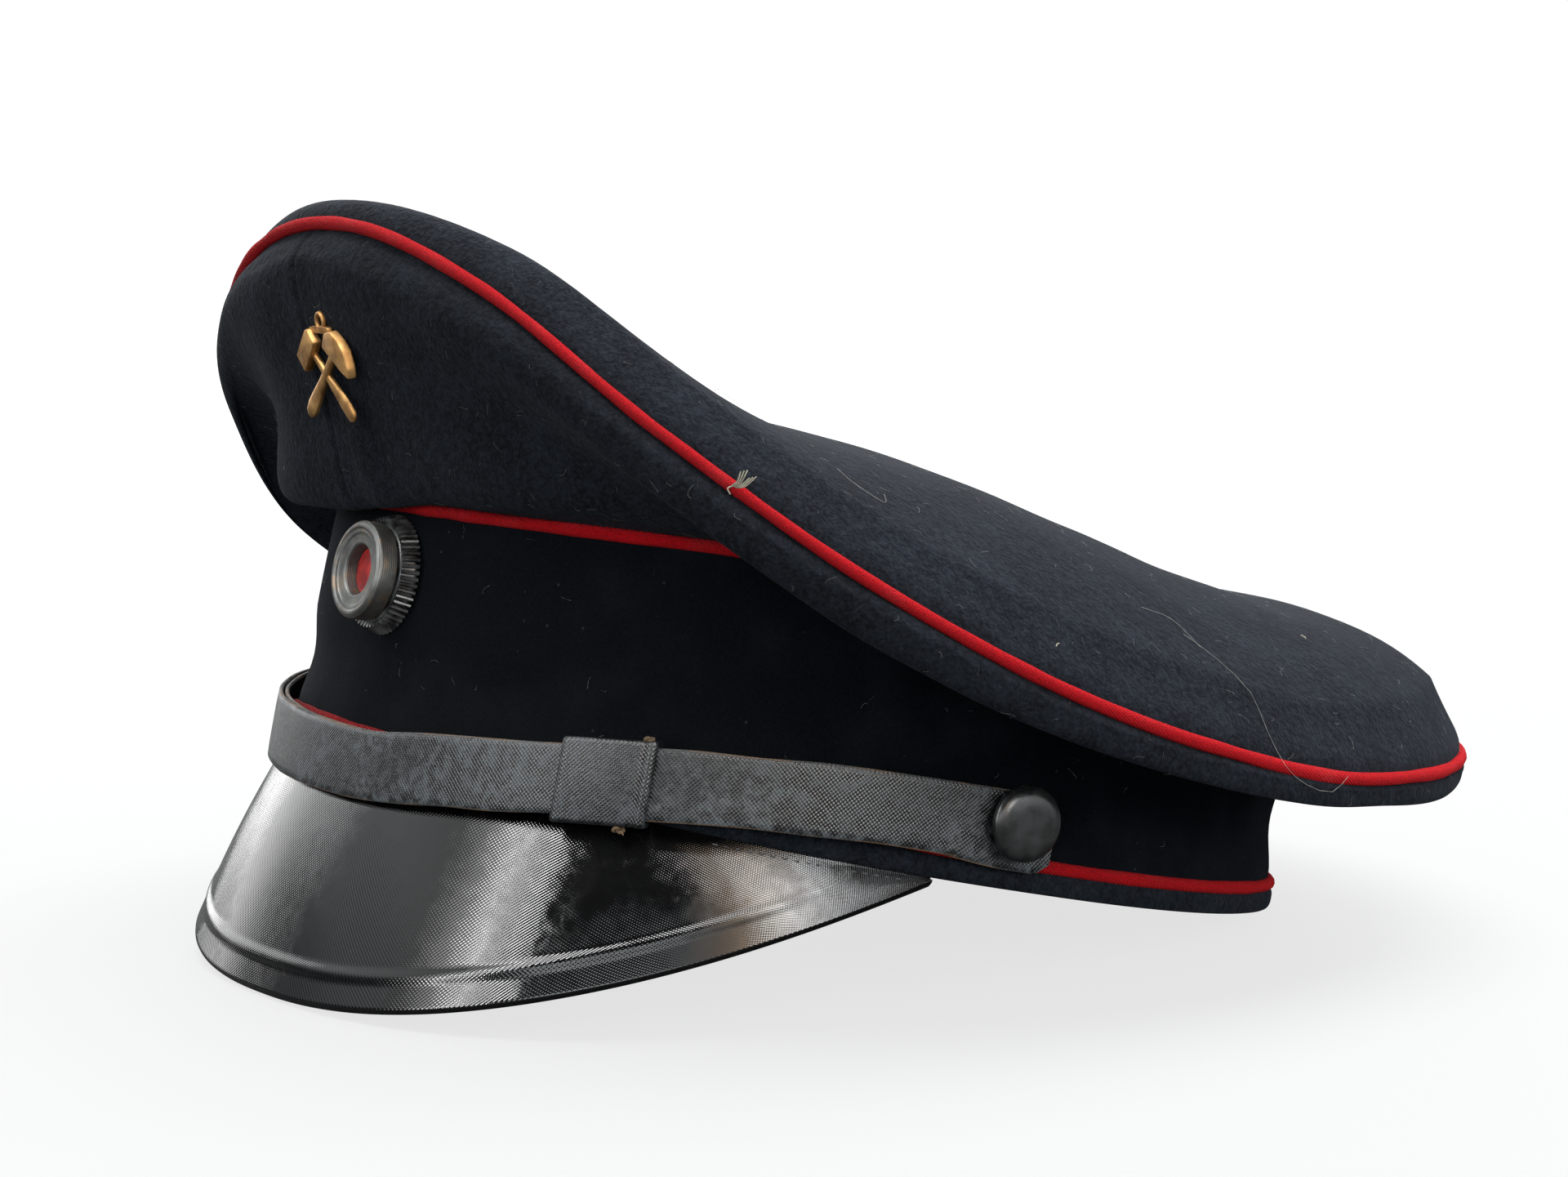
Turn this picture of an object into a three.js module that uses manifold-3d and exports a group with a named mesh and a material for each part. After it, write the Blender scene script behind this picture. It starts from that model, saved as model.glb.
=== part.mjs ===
import * as THREE from 'three';
import { mergeVertices } from 'three/addons/utils/BufferGeometryUtils.js';
import Module from 'manifold-3d';

// Peaked officer's cap, at rest on its peak and the back of its band.
// It is built upright in a cap frame, in millimetres: the origin is the centre of the band's bottom rim,
// the wearer looks along -Y, the wearer's left is +X, and an angle of 0 is the front, 90 the wearer's left.
// The last section tilts the whole cap onto the surface that it rests on.

// Ovals, as half lengths to the front and rear, half width, and how full each end is (2 is an ellipse)
const BAND_FOOT = { front: 99.2, rear: 96, side: 89, frontFullness: 2.4, rearFullness: 2 };
const BAND_HEAD = { front: 99.6, rear: 96, side: 84, frontFullness: 2.4, rearFullness: 2 };
const CROWN_EDGE = { front: 125, rear: 121, side: 122.5, frontFullness: 2.2, rearFullness: 2.2 };

// Heights above the rim, and how much each ring dips and rises twice round the head
const LOWER_PIPING_HEIGHT = 5;
const UPPER_PIPING_HEIGHT = 49.7;
const RIM_WAVE = 1.35;
const UPPER_WAVE = -2.05;

// Piping cord, and the clearance that sewn neighbours keep
const PIPING_RADIUS = 1.25;
const PIPING_PROUD = 0.2;
const SEAM_GAP = 0.3;
const PIPING_SEAT = PIPING_RADIUS + SEAM_GAP;

// Cloth walls
const CROWN_CLOTH = 1.5;
const BAND_WALL = 2.2;
const STEPS_ROUND = 60;
const PIPING_SIDES = 6;

// Crown quarters, a row every 20 degrees from the front to the rear. piping is the height of the crown
// seam above the rim. The cloth rolls out past the seam by rollOut, hangs rollDrop below it and tucks back
// by rollTuck, then runs to the band over a hollow. It bulges over the band's top edge by prow, at a rise.
const QUARTER_SPACING = 20;
const QUARTERS = [
  { piping: 96.0, rollOut: 2.2, rollDrop: 11.0, rollTuck: 0.4, hollow: 0.0, prow: 7.5, rise: 2.2 },
  { piping: 87.3, rollOut: 2.4, rollDrop: 12.0, rollTuck: 1.6, hollow: 2.5, prow: 10.0, rise: 2.2 },
  { piping: 67.1, rollOut: 2.0, rollDrop: 11.0, rollTuck: 3.0, hollow: 2.5, prow: 9.5, rise: 2.5 },
  { piping: 48.1, rollOut: 1.8, rollDrop: 9.8, rollTuck: 4.0, hollow: 1.0, prow: 7.0, rise: 1.0 },
  { piping: 34.7, rollOut: 1.6, rollDrop: 7.4, rollTuck: 3.4, hollow: 0.0, prow: 3.0, rise: -0.2 },
  { piping: 29.1, rollOut: 1.2, rollDrop: 5.2, rollTuck: 2.6, hollow: 0.0, prow: 2.0, rise: -0.6 },
  { piping: 32.2, rollOut: 1.0, rollDrop: 4.8, rollTuck: 2.4, hollow: 0.0, prow: 2.0, rise: -0.6 },
  { piping: 37.1, rollOut: 1.0, rollDrop: 4.8, rollTuck: 2.4, hollow: 0.0, prow: 2.0, rise: -0.4 },
  { piping: 40.5, rollOut: 1.0, rollDrop: 4.8, rollTuck: 2.4, hollow: 0.0, prow: 2.0, rise: -0.2 },
  { piping: 42.0, rollOut: 1.0, rollDrop: 4.8, rollTuck: 2.4, hollow: 0.0, prow: 2.0, rise: 0.0 },
];
const ROLL_SHOULDER = 0.45;
const SEAM_PRESS = 0.4;
const PRESS_START = 0.7;
const FOOT_PRESS = 0.15;
const QUARTER_ROWS = 11;

// Crown top: the ridge from front to rear, and the rounded shoulder inside the crown seam
const RIDGE = [
  { y: -125, height: 103.5 },
  { y: -110, height: 95.5 },
  { y: -90, height: 82.8 },
  { y: -70, height: 76.8 },
  { y: -48, height: 75.4 },
  { y: -20, height: 72.8 },
  { y: 5, height: 68.0 },
  { y: 30, height: 63.6 },
  { y: 55, height: 61.8 },
  { y: 80, height: 61.0 },
  { y: 100, height: 57.2 },
  { y: 121, height: 46.5 },
];
const DOME_POWER = { front: 3, rear: 3.7, blend: 60 };
const SHOULDER_HEIGHT = 5.5;
const SHOULDER_WIDTH = 0.06;
const EDGE_INSET = 0.4;
const TOP_RINGS = [1, 0.988, 0.96, 0.92, 0.82, 0.68, 0.5, 0.3, 0.1];

// Band: the waist just above its foot
const BAND_WAIST = 1.2;
const BAND_ROWS = [0, 0.12, 0.26, 0.5, 1];

// Base welt: how far its foot, its bulge and its shoulder stand out from the band's foot
const WELT = { foot: 0.2, bulge: 1.3, shoulder: 0.5, innerBevel: 0.8, bulgeHeight: 2, squash: 0.5 };

// Peak
const PEAK = {
  reach: 48, slope: 74.8, endSlope: 64, halfAngle: 78, lastAngle: 76, thickness: 1.8, bow: 0.8,
  root: 0.2, beadInset: 6.6, beadHeight: 0.6, beadHalfWidth: 1.6, beadFade: 14, steps: 40,
};

// Where the peak's rows of points lie, as shares of the way to its bead or to its edge
const PEAK_ROWS = { first: 0.33, second: 0.66, beadFoot: 0.8, leastBead: 0.55, lastBead: 0.95 };

// Chin strap, a row every 20 degrees from the front: the height of its middle above the rim on the left and
// on the right, and how far its face stands off the band
const STRAP_SPACING = 20;
const STRAP_ROUTE = [
  { left: -0.6, right: -0.6, off: 5.0 },
  { left: 2.4, right: 1.2, off: 5.1 },
  { left: 6.0, right: 4.8, off: 5.2 },
  { left: 9.2, right: 8.4, off: 4.9 },
  { left: 10.1, right: 10.1, off: 4.7 },
  { left: 10.1, right: 10.1, off: 4.7 },
];
const STRAP = {
  width: 13, thickness: 0.9, layerGap: 0.3,
  frontEnd: 79.5, tabStart: 72, tabEnd: 87, step: 4, stepTurn: 0.2,
};
const KEEPER = { left: 38.3, right: -62, halfAngle: 5.6, wall: 0.9, clearance: 0.3, steps: 5 };
const BUTTON = { angle: 84, height: 11.2, radius: 7, thickness: 3.9, edge: 1.3, crown: 0.2, sides: 18 };

// Cockade on the front of the band: fluted skirt, ring and centre
const COCKADE = {
  height: 34.5, skirtRadius: 11, skirtDepth: 3.4, flutes: 40, fluteDepth: 0.8, skirtNeck: 9.8,
  skirtWaist: 0.6, skirtFullest: 0.35, ringRadius: 9.2, ringDepth: 4.2, lipWidth: 2.2, lipEase: 0.4,
  holeRadius: 4.3, holeBevel: 0.5, holeDepth: 2.2, ringStep: 0.7, discEdge: 0.6, discCrown: 0.9, sides: 26,
};

// Crossed hammers on the front of the crown, their heads joined by a bar that holds the loop
const BADGE = {
  share: 0.42, stand: 1.7, pitch: 7, rise: 0.5, lean: 95, thickness: 1.1, handleLength: 18.6, handleTop: 0.8,
  handleFoot: 1.5, footBevel: 0.8, handleTaper: 0.5, headWidth: 8.2, headHeight: 4, crossing: 11.75,
  pickTaper: 1.3, pickReach: 2.9, pickLift: 3, pickArch: 1,
  barLength: 7.6, barHeight: 1.1, barPlace: 8.3, loopRadius: 1.3, loopWire: 0.5, loopPlace: 9.9,
};

const degrees = THREE.MathUtils.degToRad;
const lerp = THREE.MathUtils.lerp;
const clamp = THREE.MathUtils.clamp;
const smoothstep = THREE.MathUtils.smoothstep;

// A value from a column of an evenly spaced table, smooth and mirrored about both ends
function tableValue(rows, spacing, column, angle) {
  const folded = Math.abs(((angle + 180) % 360 + 360) % 360 - 180);
  const place = folded / spacing;
  const last = rows.length - 1;
  const row = (index) => {
    const mirrored = index < 0 ? -index : index;
    return rows[mirrored > last ? 2 * last - mirrored : mirrored][column];
  };
  const start = Math.min(Math.floor(place), last - 1);
  const t = place - start;
  const [a, b, c, d] = [row(start - 1), row(start), row(start + 1), row(start + 2)];
  return b + 0.5 * t * (c - a + t * (2 * a - 5 * b + 4 * c - d + t * (3 * (b - c) + d - a)));
}

// A point of an oval, in the plane
function ovalPoint(oval, angle) {
  const c = Math.cos(degrees(angle));
  const s = Math.sin(degrees(angle));
  const fullness = c > 0 ? oval.frontFullness : oval.rearFullness;
  const reach = c > 0 ? oval.front : oval.rear;
  const x = oval.side * Math.sign(s) * Math.abs(s) ** (2 / fullness);
  const y = -reach * Math.sign(c) * Math.abs(c) ** (2 / fullness);
  return new THREE.Vector2(x, y);
}

// The outward normal of an oval at an angle
function ovalNormal(oval, angle) {
  const step = 0.5;
  const along = ovalPoint(oval, angle + step).sub(ovalPoint(oval, angle - step));
  return new THREE.Vector2(along.y, -along.x).normalize();
}

// A point offset outwards from an oval, at a height
function besideOval(oval, angle, out, height) {
  const point = ovalPoint(oval, angle).addScaledVector(ovalNormal(oval, angle), out);
  return new THREE.Vector3(point.x, point.y, height);
}

function rimHeight(angle) {
  return RIM_WAVE * Math.cos(2 * degrees(angle));
}

function lowerPipingHeight(angle) {
  return LOWER_PIPING_HEIGHT + rimHeight(angle);
}

function upperPipingHeight(angle) {
  return UPPER_PIPING_HEIGHT + UPPER_WAVE * Math.cos(2 * degrees(angle));
}

function crownPipingHeight(angle) {
  return tableValue(QUARTERS, QUARTER_SPACING, 'piping', angle);
}

// The angles of the sections round the whole head
function anglesRound() {
  return Array.from({ length: STEPS_ROUND }, (unused, index) => index * 360 / STEPS_ROUND);
}

// A closed solid through equal rings of points: a loop of rings, or a row with a cap at each end
function loft(rings, looped) {
  const sides = rings[0].length;
  const points = rings.flat();
  const triangles = [];
  const spans = looped ? rings.length : rings.length - 1;
  for (let i = 0; i < spans; i += 1) {
    const near = i * sides;
    const far = ((i + 1) % rings.length) * sides;
    for (let j = 0; j < sides; j += 1) {
      const k = (j + 1) % sides;
      triangles.push(near + j, far + j, far + k, near + j, far + k, near + k);
    }
  }
  if (!looped) {
    for (const [start, forward] of [[0, true], [(rings.length - 1) * sides, false]]) {
      const middle = points.length;
      points.push(ringCentre(rings[start / sides]));
      for (let j = 0; j < sides; j += 1) {
        const a = start + j;
        const b = start + (j + 1) % sides;
        triangles.push(middle, forward ? a : b, forward ? b : a);
      }
    }
  }
  return solidFrom(points, triangles);
}

function ringCentre(ring) {
  return ring.reduce((sum, point) => sum.add(point), new THREE.Vector3()).divideScalar(ring.length);
}

// A geometry whose faces point outwards
function solidFrom(points, triangles) {
  let volume = 0;
  for (let i = 0; i < triangles.length; i += 3) {
    const [a, b, c] = [points[triangles[i]], points[triangles[i + 1]], points[triangles[i + 2]]];
    volume += a.dot(b.clone().cross(c));
  }
  const outward = volume > 0 ? triangles : triangles.slice().reverse();
  const geometry = new THREE.BufferGeometry().setFromPoints(points);
  geometry.setIndex(outward);
  return geometry;
}

function finish(color, roughness, metalness = 0) {
  return new THREE.MeshStandardMaterial({ color, roughness, metalness, side: THREE.DoubleSide });
}

const navyFelt = finish(0x14171f, 0.95);
const bandVelvet = finish(0x0b0e16, 0.98);
const redWool = finish(0xa3131f, 0.9);
const lacquer = finish(0x0a0b0c, 0.12);
const strapLeather = finish(0x1b1e20, 0.42);
const blackEnamel = finish(0x101112, 0.35);
const agedSteel = finish(0x5c5a57, 0.45, 0.9);
const agedBrass = finish(0x9a7434, 0.42, 1);

const cap = new THREE.Group();

function addPiece(name, geometry, material) {
  const mesh = new THREE.Mesh(geometry, material);
  mesh.name = name;
  cap.add(mesh);
  return mesh;
}

// Piping: a round cord along an oval
function pipingCord(oval, heightAt, proud) {
  const rings = anglesRound().map((angle) => Array.from({ length: PIPING_SIDES }, (unused, side) => {
    const turn = 2 * Math.PI * side / PIPING_SIDES;
    const out = proud + PIPING_RADIUS * Math.cos(turn);
    return besideOval(oval, angle, out, heightAt(angle) + PIPING_RADIUS * Math.sin(turn));
  }));
  return loft(rings, true);
}

// Base welt: the rounded felt strip under the lower piping, flattened where it rests
function weltProfile() {
  const top = LOWER_PIPING_HEIGHT - PIPING_SEAT;
  const { foot, bulge, shoulder, innerBevel, bulgeHeight } = WELT;
  return [
    { out: -BAND_WALL, height: innerBevel / 2 },
    { out: -BAND_WALL + innerBevel, height: 0 },
    { out: foot, height: 0 },
    { out: lerp(foot, bulge, 0.8), height: bulgeHeight * 0.4 },
    { out: bulge, height: bulgeHeight },
    { out: lerp(shoulder, bulge, 0.6), height: top - SEAM_GAP },
    { out: shoulder, height: top },
    { out: -BAND_WALL, height: top },
  ];
}

function baseWelt(rest) {
  const rings = anglesRound().map((angle) => weltProfile().map((row) => {
    const point = besideOval(BAND_FOOT, angle, row.out, rimHeight(angle) + row.height);
    const sunk = rest.floor - heightAboveRest(point, rest.tilt);
    if (sunk > 0) {
      point.y -= sunk * Math.sin(rest.tilt);
      point.z += sunk * Math.cos(rest.tilt);
    }
    return point;
  }));
  return loft(rings, true);
}

// Band: the velvet wall between the two pipings
function bandPoint(angle, share, out) {
  const foot = besideOval(BAND_FOOT, angle, out, lowerPipingHeight(angle) + PIPING_SEAT);
  const head = besideOval(BAND_HEAD, angle, out, upperPipingHeight(angle) - PIPING_SEAT);
  return foot.lerp(head, share);
}

function waistAt(share) {
  return BAND_WAIST * Math.sin(Math.PI * clamp(share / 0.5, 0, 1)) ** 2;
}

function bandWall() {
  const [foot, , waist, , head] = BAND_ROWS;
  const rings = anglesRound().map((angle) => {
    const outside = BAND_ROWS.map((share) => bandPoint(angle, share, -waistAt(share)));
    const inside = [head, waist, foot].map((share) => bandPoint(angle, share, -BAND_WALL - waistAt(share)));
    return [...outside, ...inside];
  });
  return loft(rings, true);
}

// Crown quarters: one section of the cloth between the band's top and the crown seam
function quarterCurve(angle) {
  const row = (column) => tableValue(QUARTERS, QUARTER_SPACING, column, angle);
  const inner = ovalPoint(BAND_HEAD, angle);
  const outward = ovalPoint(CROWN_EDGE, angle).sub(inner);
  const width = outward.length();
  outward.normalize();
  const foot = upperPipingHeight(angle) + PIPING_SEAT;
  const seam = row('piping') - PIPING_SEAT;
  const shoulder = width + row('rollOut');
  const low = row('piping') - row('rollDrop');
  const prow = new THREE.Vector2(row('prow'), foot + row('rise'));
  const roll = new THREE.Vector2(shoulder - row('rollTuck'), low);
  const run = roll.clone().sub(prow).normalize();
  const inward = new THREE.Vector2(-run.y, run.x);
  const middle = prow.clone().lerp(roll, 0.5).addScaledVector(inward, row('hollow'));
  const stations = [
    new THREE.Vector2(0, foot),
    prow,
    middle,
    roll,
    new THREE.Vector2(shoulder, lerp(row('piping'), low, ROLL_SHOULDER)),
    new THREE.Vector2(width - EDGE_INSET, seam),
  ];
  const curve = new THREE.SplineCurve(stations);
  const place = (point) => new THREE.Vector3(
    inner.x + outward.x * point.x, inner.y + outward.y * point.x, point.y);
  return { curve, place };
}

// A point of the quarters' face, and the same point moved in by the cloth's thickness
function quarterPoint(angle, share, depth = 0) {
  const { curve, place } = quarterCurve(angle);
  const point = curve.getPoint(share);
  const along = curve.getTangent(share);
  const seamward = Math.max(smoothstep(share, PRESS_START, 1), 1 - smoothstep(share, 0, FOOT_PRESS));
  const pressed = depth * lerp(1, SEAM_PRESS, seamward);
  return place(point.add(new THREE.Vector2(-along.y, along.x).multiplyScalar(pressed)));
}

function crownQuarters() {
  const shares = Array.from({ length: QUARTER_ROWS }, (unused, index) => index / (QUARTER_ROWS - 1));
  const rings = anglesRound().map((angle) => [
    ...shares.map((share) => quarterPoint(angle, share)),
    ...shares.toReversed().map((share) => quarterPoint(angle, share, CROWN_CLOTH)),
  ]);
  return loft(rings, true);
}

// Crown top: the height of the ridge, and of the cloth at any place inside the crown seam
function ridgeHeight(y) {
  const last = RIDGE.length - 1;
  const next = clamp(RIDGE.findIndex((row) => row.y >= y), 1, last);
  const [a, b] = [RIDGE[next - 1], RIDGE[next]];
  const slopeAt = (index) => {
    const low = RIDGE[Math.max(index - 1, 0)];
    const high = RIDGE[Math.min(index + 1, last)];
    return (high.height - low.height) / (high.y - low.y);
  };
  const span = b.y - a.y;
  const t = clamp((y - a.y) / span, 0, 1);
  const start = slopeAt(next - 1) * span;
  const end = slopeAt(next) * span;
  const rise = b.height - a.height;
  return a.height + t * (start + t * (3 * rise - 2 * start - end + t * (start + end - 2 * rise)));
}

function topHeight(x, y, share, angle) {
  const reach = y < 0 ? CROWN_EDGE.front : CROWN_EDGE.rear;
  const fullness = y < 0 ? CROWN_EDGE.frontFullness : CROWN_EDGE.rearFullness;
  const halfWidth = CROWN_EDGE.side * (1 - clamp(Math.abs(y) / reach, 0, 1) ** fullness) ** (1 / fullness);
  const across = halfWidth > 0 ? clamp(Math.abs(x) / halfWidth, 0, 1) : 1;
  const inside = clamp((1 - share) / SHOULDER_WIDTH, 0, 1);
  const shoulder = SHOULDER_HEIGHT * Math.sqrt(1 - (1 - inside) ** 2);
  const edge = crownPipingHeight(angle) + PIPING_SEAT;
  const power = lerp(DOME_POWER.front, DOME_POWER.rear, smoothstep(y, -DOME_POWER.blend, DOME_POWER.blend));
  const dome = (ridgeHeight(y) - edge - SHOULDER_HEIGHT) * (1 - across ** power);
  return edge + shoulder + dome * inside;
}

function topPoint(angle, share) {
  const point = besideOval(CROWN_EDGE, angle, -EDGE_INSET, 0).multiplyScalar(share);
  point.z = topHeight(point.x, point.y, share, angle);
  return point;
}

// The way out of the cloth at a place of the crown top
function topNormal(angle, share) {
  if (share === 1) {
    const flat = ovalNormal(CROWN_EDGE, angle);
    return new THREE.Vector3(flat.x, flat.y, 0);
  }
  const turn = 2;
  const step = Math.min(0.01, (1 - share) / 2);
  const round = topPoint(angle + turn, share).sub(topPoint(angle - turn, share));
  const out = topPoint(angle, share + step).sub(topPoint(angle, share - step));
  return out.cross(round).normalize();
}

function crownTop() {
  const angles = anglesRound();
  const outside = TOP_RINGS.map((share) => angles.map((angle) => topPoint(angle, share)));
  const inside = TOP_RINGS.map((share) => angles.map((angle) => (
    topPoint(angle, share).addScaledVector(topNormal(angle, share), -CROWN_CLOTH))));
  return loft([...outside.toReversed(), ...inside], false);
}

// Peak: a section from its root under the welt to its edge, and back along its underside
function peakReach(angle) {
  return PEAK.reach * Math.cos(angle / PEAK.halfAngle * Math.PI / 2);
}

function peakPoint(angle, run, depth) {
  const turned = (1 - Math.cos(degrees(angle))) / (1 - Math.cos(degrees(PEAK.halfAngle)));
  const slope = degrees(lerp(PEAK.slope, PEAK.endSlope, turned));
  const reach = peakReach(angle);
  const share = clamp(run / reach, 0, 1);
  const bead = Math.max(0, 1 - Math.abs(reach - PEAK.beadInset - run) / PEAK.beadHalfWidth);
  const fade = clamp((reach - PEAK.beadInset) / PEAK.beadFade, 0, 1);
  const lift = PEAK.bow * Math.sin(Math.PI * share) + PEAK.beadHeight * bead * fade - depth;
  const out = PEAK.root + run * Math.cos(slope) + lift * Math.sin(slope);
  return besideOval(BAND_FOOT, angle, out, rimHeight(angle) - SEAM_GAP - run * Math.sin(slope)
    + lift * Math.cos(slope));
}

function peakSolid() {
  const rings = [];
  for (let i = 0; i <= PEAK.steps; i += 1) {
    const angle = lerp(-PEAK.lastAngle, PEAK.lastAngle, i / PEAK.steps);
    const reach = peakReach(angle);
    const bead = Math.max(reach - PEAK.beadInset, reach * PEAK_ROWS.leastBead);
    const first = bead * PEAK_ROWS.first;
    const second = bead * PEAK_ROWS.second;
    const beadFoot = Math.max(bead - PEAK.beadHalfWidth, bead * PEAK_ROWS.beadFoot);
    const beadEnd = Math.min(bead + PEAK.beadHalfWidth, reach * PEAK_ROWS.lastBead);
    rings.push([
      ...[0, first, second, beadFoot, bead, beadEnd, reach].map((run) => peakPoint(angle, run, 0)),
      ...[reach, second, first, 0].map((run) => peakPoint(angle, run, PEAK.thickness)),
    ]);
  }
  return loft(rings, false);
}

// Chin strap: layer 0 lies outside, layer 1 under it
function strapPoint(angle, across, depth) {
  const height = tableValue(STRAP_ROUTE, STRAP_SPACING, angle < 0 ? 'right' : 'left', angle);
  const off = tableValue(STRAP_ROUTE, STRAP_SPACING, 'off', angle);
  return besideOval(BAND_FOOT, angle, off - depth, height + across);
}

function strapSection(angle, face, back) {
  const half = STRAP.width / 2;
  return [
    strapPoint(angle, half, face), strapPoint(angle, -half, face),
    strapPoint(angle, -half, back), strapPoint(angle, half, back),
  ];
}

function anglesBetween(from, to) {
  const count = Math.ceil(Math.abs(to - from) / STRAP.step);
  return Array.from({ length: count + 1 }, (unused, index) => lerp(from, to, index / count));
}

const layerDepth = [0, STRAP.thickness + STRAP.layerGap];

// The half that buttons on one side lies in its own layer, and its buttoned end is a lower tab
function strapHalf(side, layer) {
  const face = layerDepth[layer];
  const tabFace = layerDepth[1];
  const farEnd = (side > 0 ? KEEPER.right : KEEPER.left) - side * KEEPER.halfAngle;
  const long = anglesBetween(farEnd, side * STRAP.tabStart).map(
    (angle) => strapSection(angle, face, face + STRAP.thickness));
  const doubled = anglesBetween(side * (STRAP.tabStart + STRAP.stepTurn), side * STRAP.frontEnd).map(
    (angle) => strapSection(angle, 0, tabFace + STRAP.thickness));
  const tab = anglesBetween(side * (STRAP.frontEnd + STRAP.stepTurn), side * STRAP.tabEnd).map(
    (angle) => strapSection(angle, tabFace, tabFace + STRAP.thickness));
  return loft([...long, ...doubled, ...tab], false);
}

// Keeper: a flat loop round both layers
function keeper(centre) {
  const { halfAngle, clearance, steps, wall } = KEEPER;
  const stack = layerDepth[1] + STRAP.thickness;
  const section = (angle, grow) => {
    const half = STRAP.width / 2 + clearance + grow;
    const face = -clearance - grow;
    const back = stack + clearance + grow;
    return [
      strapPoint(angle, half, face), strapPoint(angle, -half, face),
      strapPoint(angle, -half, back), strapPoint(angle, half, back),
    ];
  };
  const stations = Array.from({ length: steps }, (unused, index) => (
    centre + halfAngle * (2 * index / (steps - 1) - 1)));
  const outside = stations.map((angle) => section(angle, wall));
  const inside = stations.toReversed().map((angle) => section(angle, 0));
  return loft([...outside, ...inside], true);
}

// A turned piece standing on the band: its axis is the band's outward normal
function turned(name, profile, sides, material, angle, out, height) {
  const outline = profile.map(([radius, along]) => new THREE.Vector2(radius, along));
  const mesh = addPiece(name, new THREE.LatheGeometry(outline, sides), material);
  standOnBand(mesh, angle, out, height);
}

function standOnBand(mesh, angle, out, height) {
  const flat = ovalNormal(BAND_FOOT, angle);
  mesh.position.copy(besideOval(BAND_FOOT, angle, out, height));
  mesh.quaternion.setFromUnitVectors(new THREE.Vector3(0, 1, 0), new THREE.Vector3(flat.x, flat.y, 0));
}

function buttonProfile() {
  const { radius, thickness, edge, crown } = BUTTON;
  return [
    [0, 0], [radius - edge / 2, 0], [radius, edge / 2], [radius, thickness - edge],
    [radius - edge, thickness - crown], [radius - 2 * edge, thickness], [0, thickness],
  ];
}

// Cockade: the fluted skirt against the band
function cockadeSkirt() {
  const { flutes, fluteDepth, skirtRadius, skirtDepth, skirtNeck, skirtWaist, skirtFullest } = COCKADE;
  const rows = [
    { along: 0, radius: skirtRadius - skirtWaist, flute: fluteDepth / 2 },
    { along: skirtDepth * skirtFullest, radius: skirtRadius, flute: fluteDepth },
    { along: skirtDepth, radius: skirtNeck, flute: fluteDepth / 2 },
  ];
  const rings = rows.map((row) => Array.from({ length: 2 * flutes }, (unused, index) => {
    const turn = Math.PI * index / flutes;
    const radius = row.radius - (index % 2) * row.flute;
    return new THREE.Vector3(radius * Math.cos(turn), row.along, radius * Math.sin(turn));
  }));
  return loft(rings, false);
}

function cockadeRingProfile() {
  const { ringRadius, ringDepth, ringStep, lipWidth, lipEase, holeRadius, holeBevel } = COCKADE;
  const face = ringDepth - ringStep;
  const floor = face - COCKADE.holeDepth;
  return [
    [0, 0], [ringRadius, 0], [ringRadius, face], [ringRadius - ringStep, ringDepth],
    [ringRadius - lipWidth, ringDepth], [ringRadius - lipWidth - lipEase, face],
    [holeRadius + holeBevel, face], [holeRadius, face - ringStep], [holeRadius, floor], [0, floor],
  ];
}

const cockadeSeat = ovalPoint(BAND_HEAD, 0).y - ovalPoint(BAND_FOOT, 0).y;

function addCockade() {
  const skirt = addPiece('cockade_skirt', cockadeSkirt(), blackEnamel);
  const seat = SEAM_GAP - cockadeSeat;
  standOnBand(skirt, 0, seat, COCKADE.height);
  const ringSeat = seat + COCKADE.skirtDepth + SEAM_GAP;
  turned('cockade_ring', cockadeRingProfile(), COCKADE.sides, agedSteel, 0, ringSeat, COCKADE.height);
  const { ringDepth, ringStep, holeDepth, holeRadius, discEdge, discCrown, sides, height } = COCKADE;
  const floor = ringSeat + ringDepth - ringStep - holeDepth + SEAM_GAP;
  const discRadius = holeRadius - SEAM_GAP;
  const disc = [[0, 0], [discRadius, 0], [discRadius, discEdge], [0, discCrown]];
  turned('cockade_centre', disc, sides / 2, redWool, 0, floor, height);
}

// Badge: two crossed hammers and a small loop, joined into one solid
const wasm = await Module();
wasm.setup();

function toManifold(geometry) {
  const bare = geometry.clone();
  bare.deleteAttribute('normal');
  bare.deleteAttribute('uv');
  const merged = mergeVertices(bare, 1e-4);
  return new wasm.Manifold(new wasm.Mesh({
    numProp: 3,
    vertProperties: new Float32Array(merged.attributes.position.array),
    triVerts: new Uint32Array(merged.index.array),
  }));
}

function fromManifold(solid) {
  const mesh = solid.getMesh();
  const geometry = new THREE.BufferGeometry();
  geometry.setAttribute('position', new THREE.BufferAttribute(new Float32Array(mesh.vertProperties), 3));
  geometry.setIndex(Array.from(mesh.triVerts));
  return geometry;
}

function extruded(shape, depth) {
  return new THREE.ExtrudeGeometry(shape, { depth, bevelEnabled: false, curveSegments: 4 });
}

// The handle of either hammer, its foot at the origin and its head up +Y
function handleShape() {
  const { handleLength, handleTop, handleFoot, footBevel, handleTaper } = BADGE;
  const taperEnd = handleLength * handleTaper;
  const right = [
    new THREE.Vector2(handleFoot - footBevel, 0),
    new THREE.Vector2(handleFoot, footBevel),
    new THREE.Vector2(handleTop, taperEnd),
    new THREE.Vector2(handleTop, handleLength),
  ];
  const left = right.toReversed().map((point) => new THREE.Vector2(-point.x, point.y));
  return new THREE.Shape([...right, ...left]);
}

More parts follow.
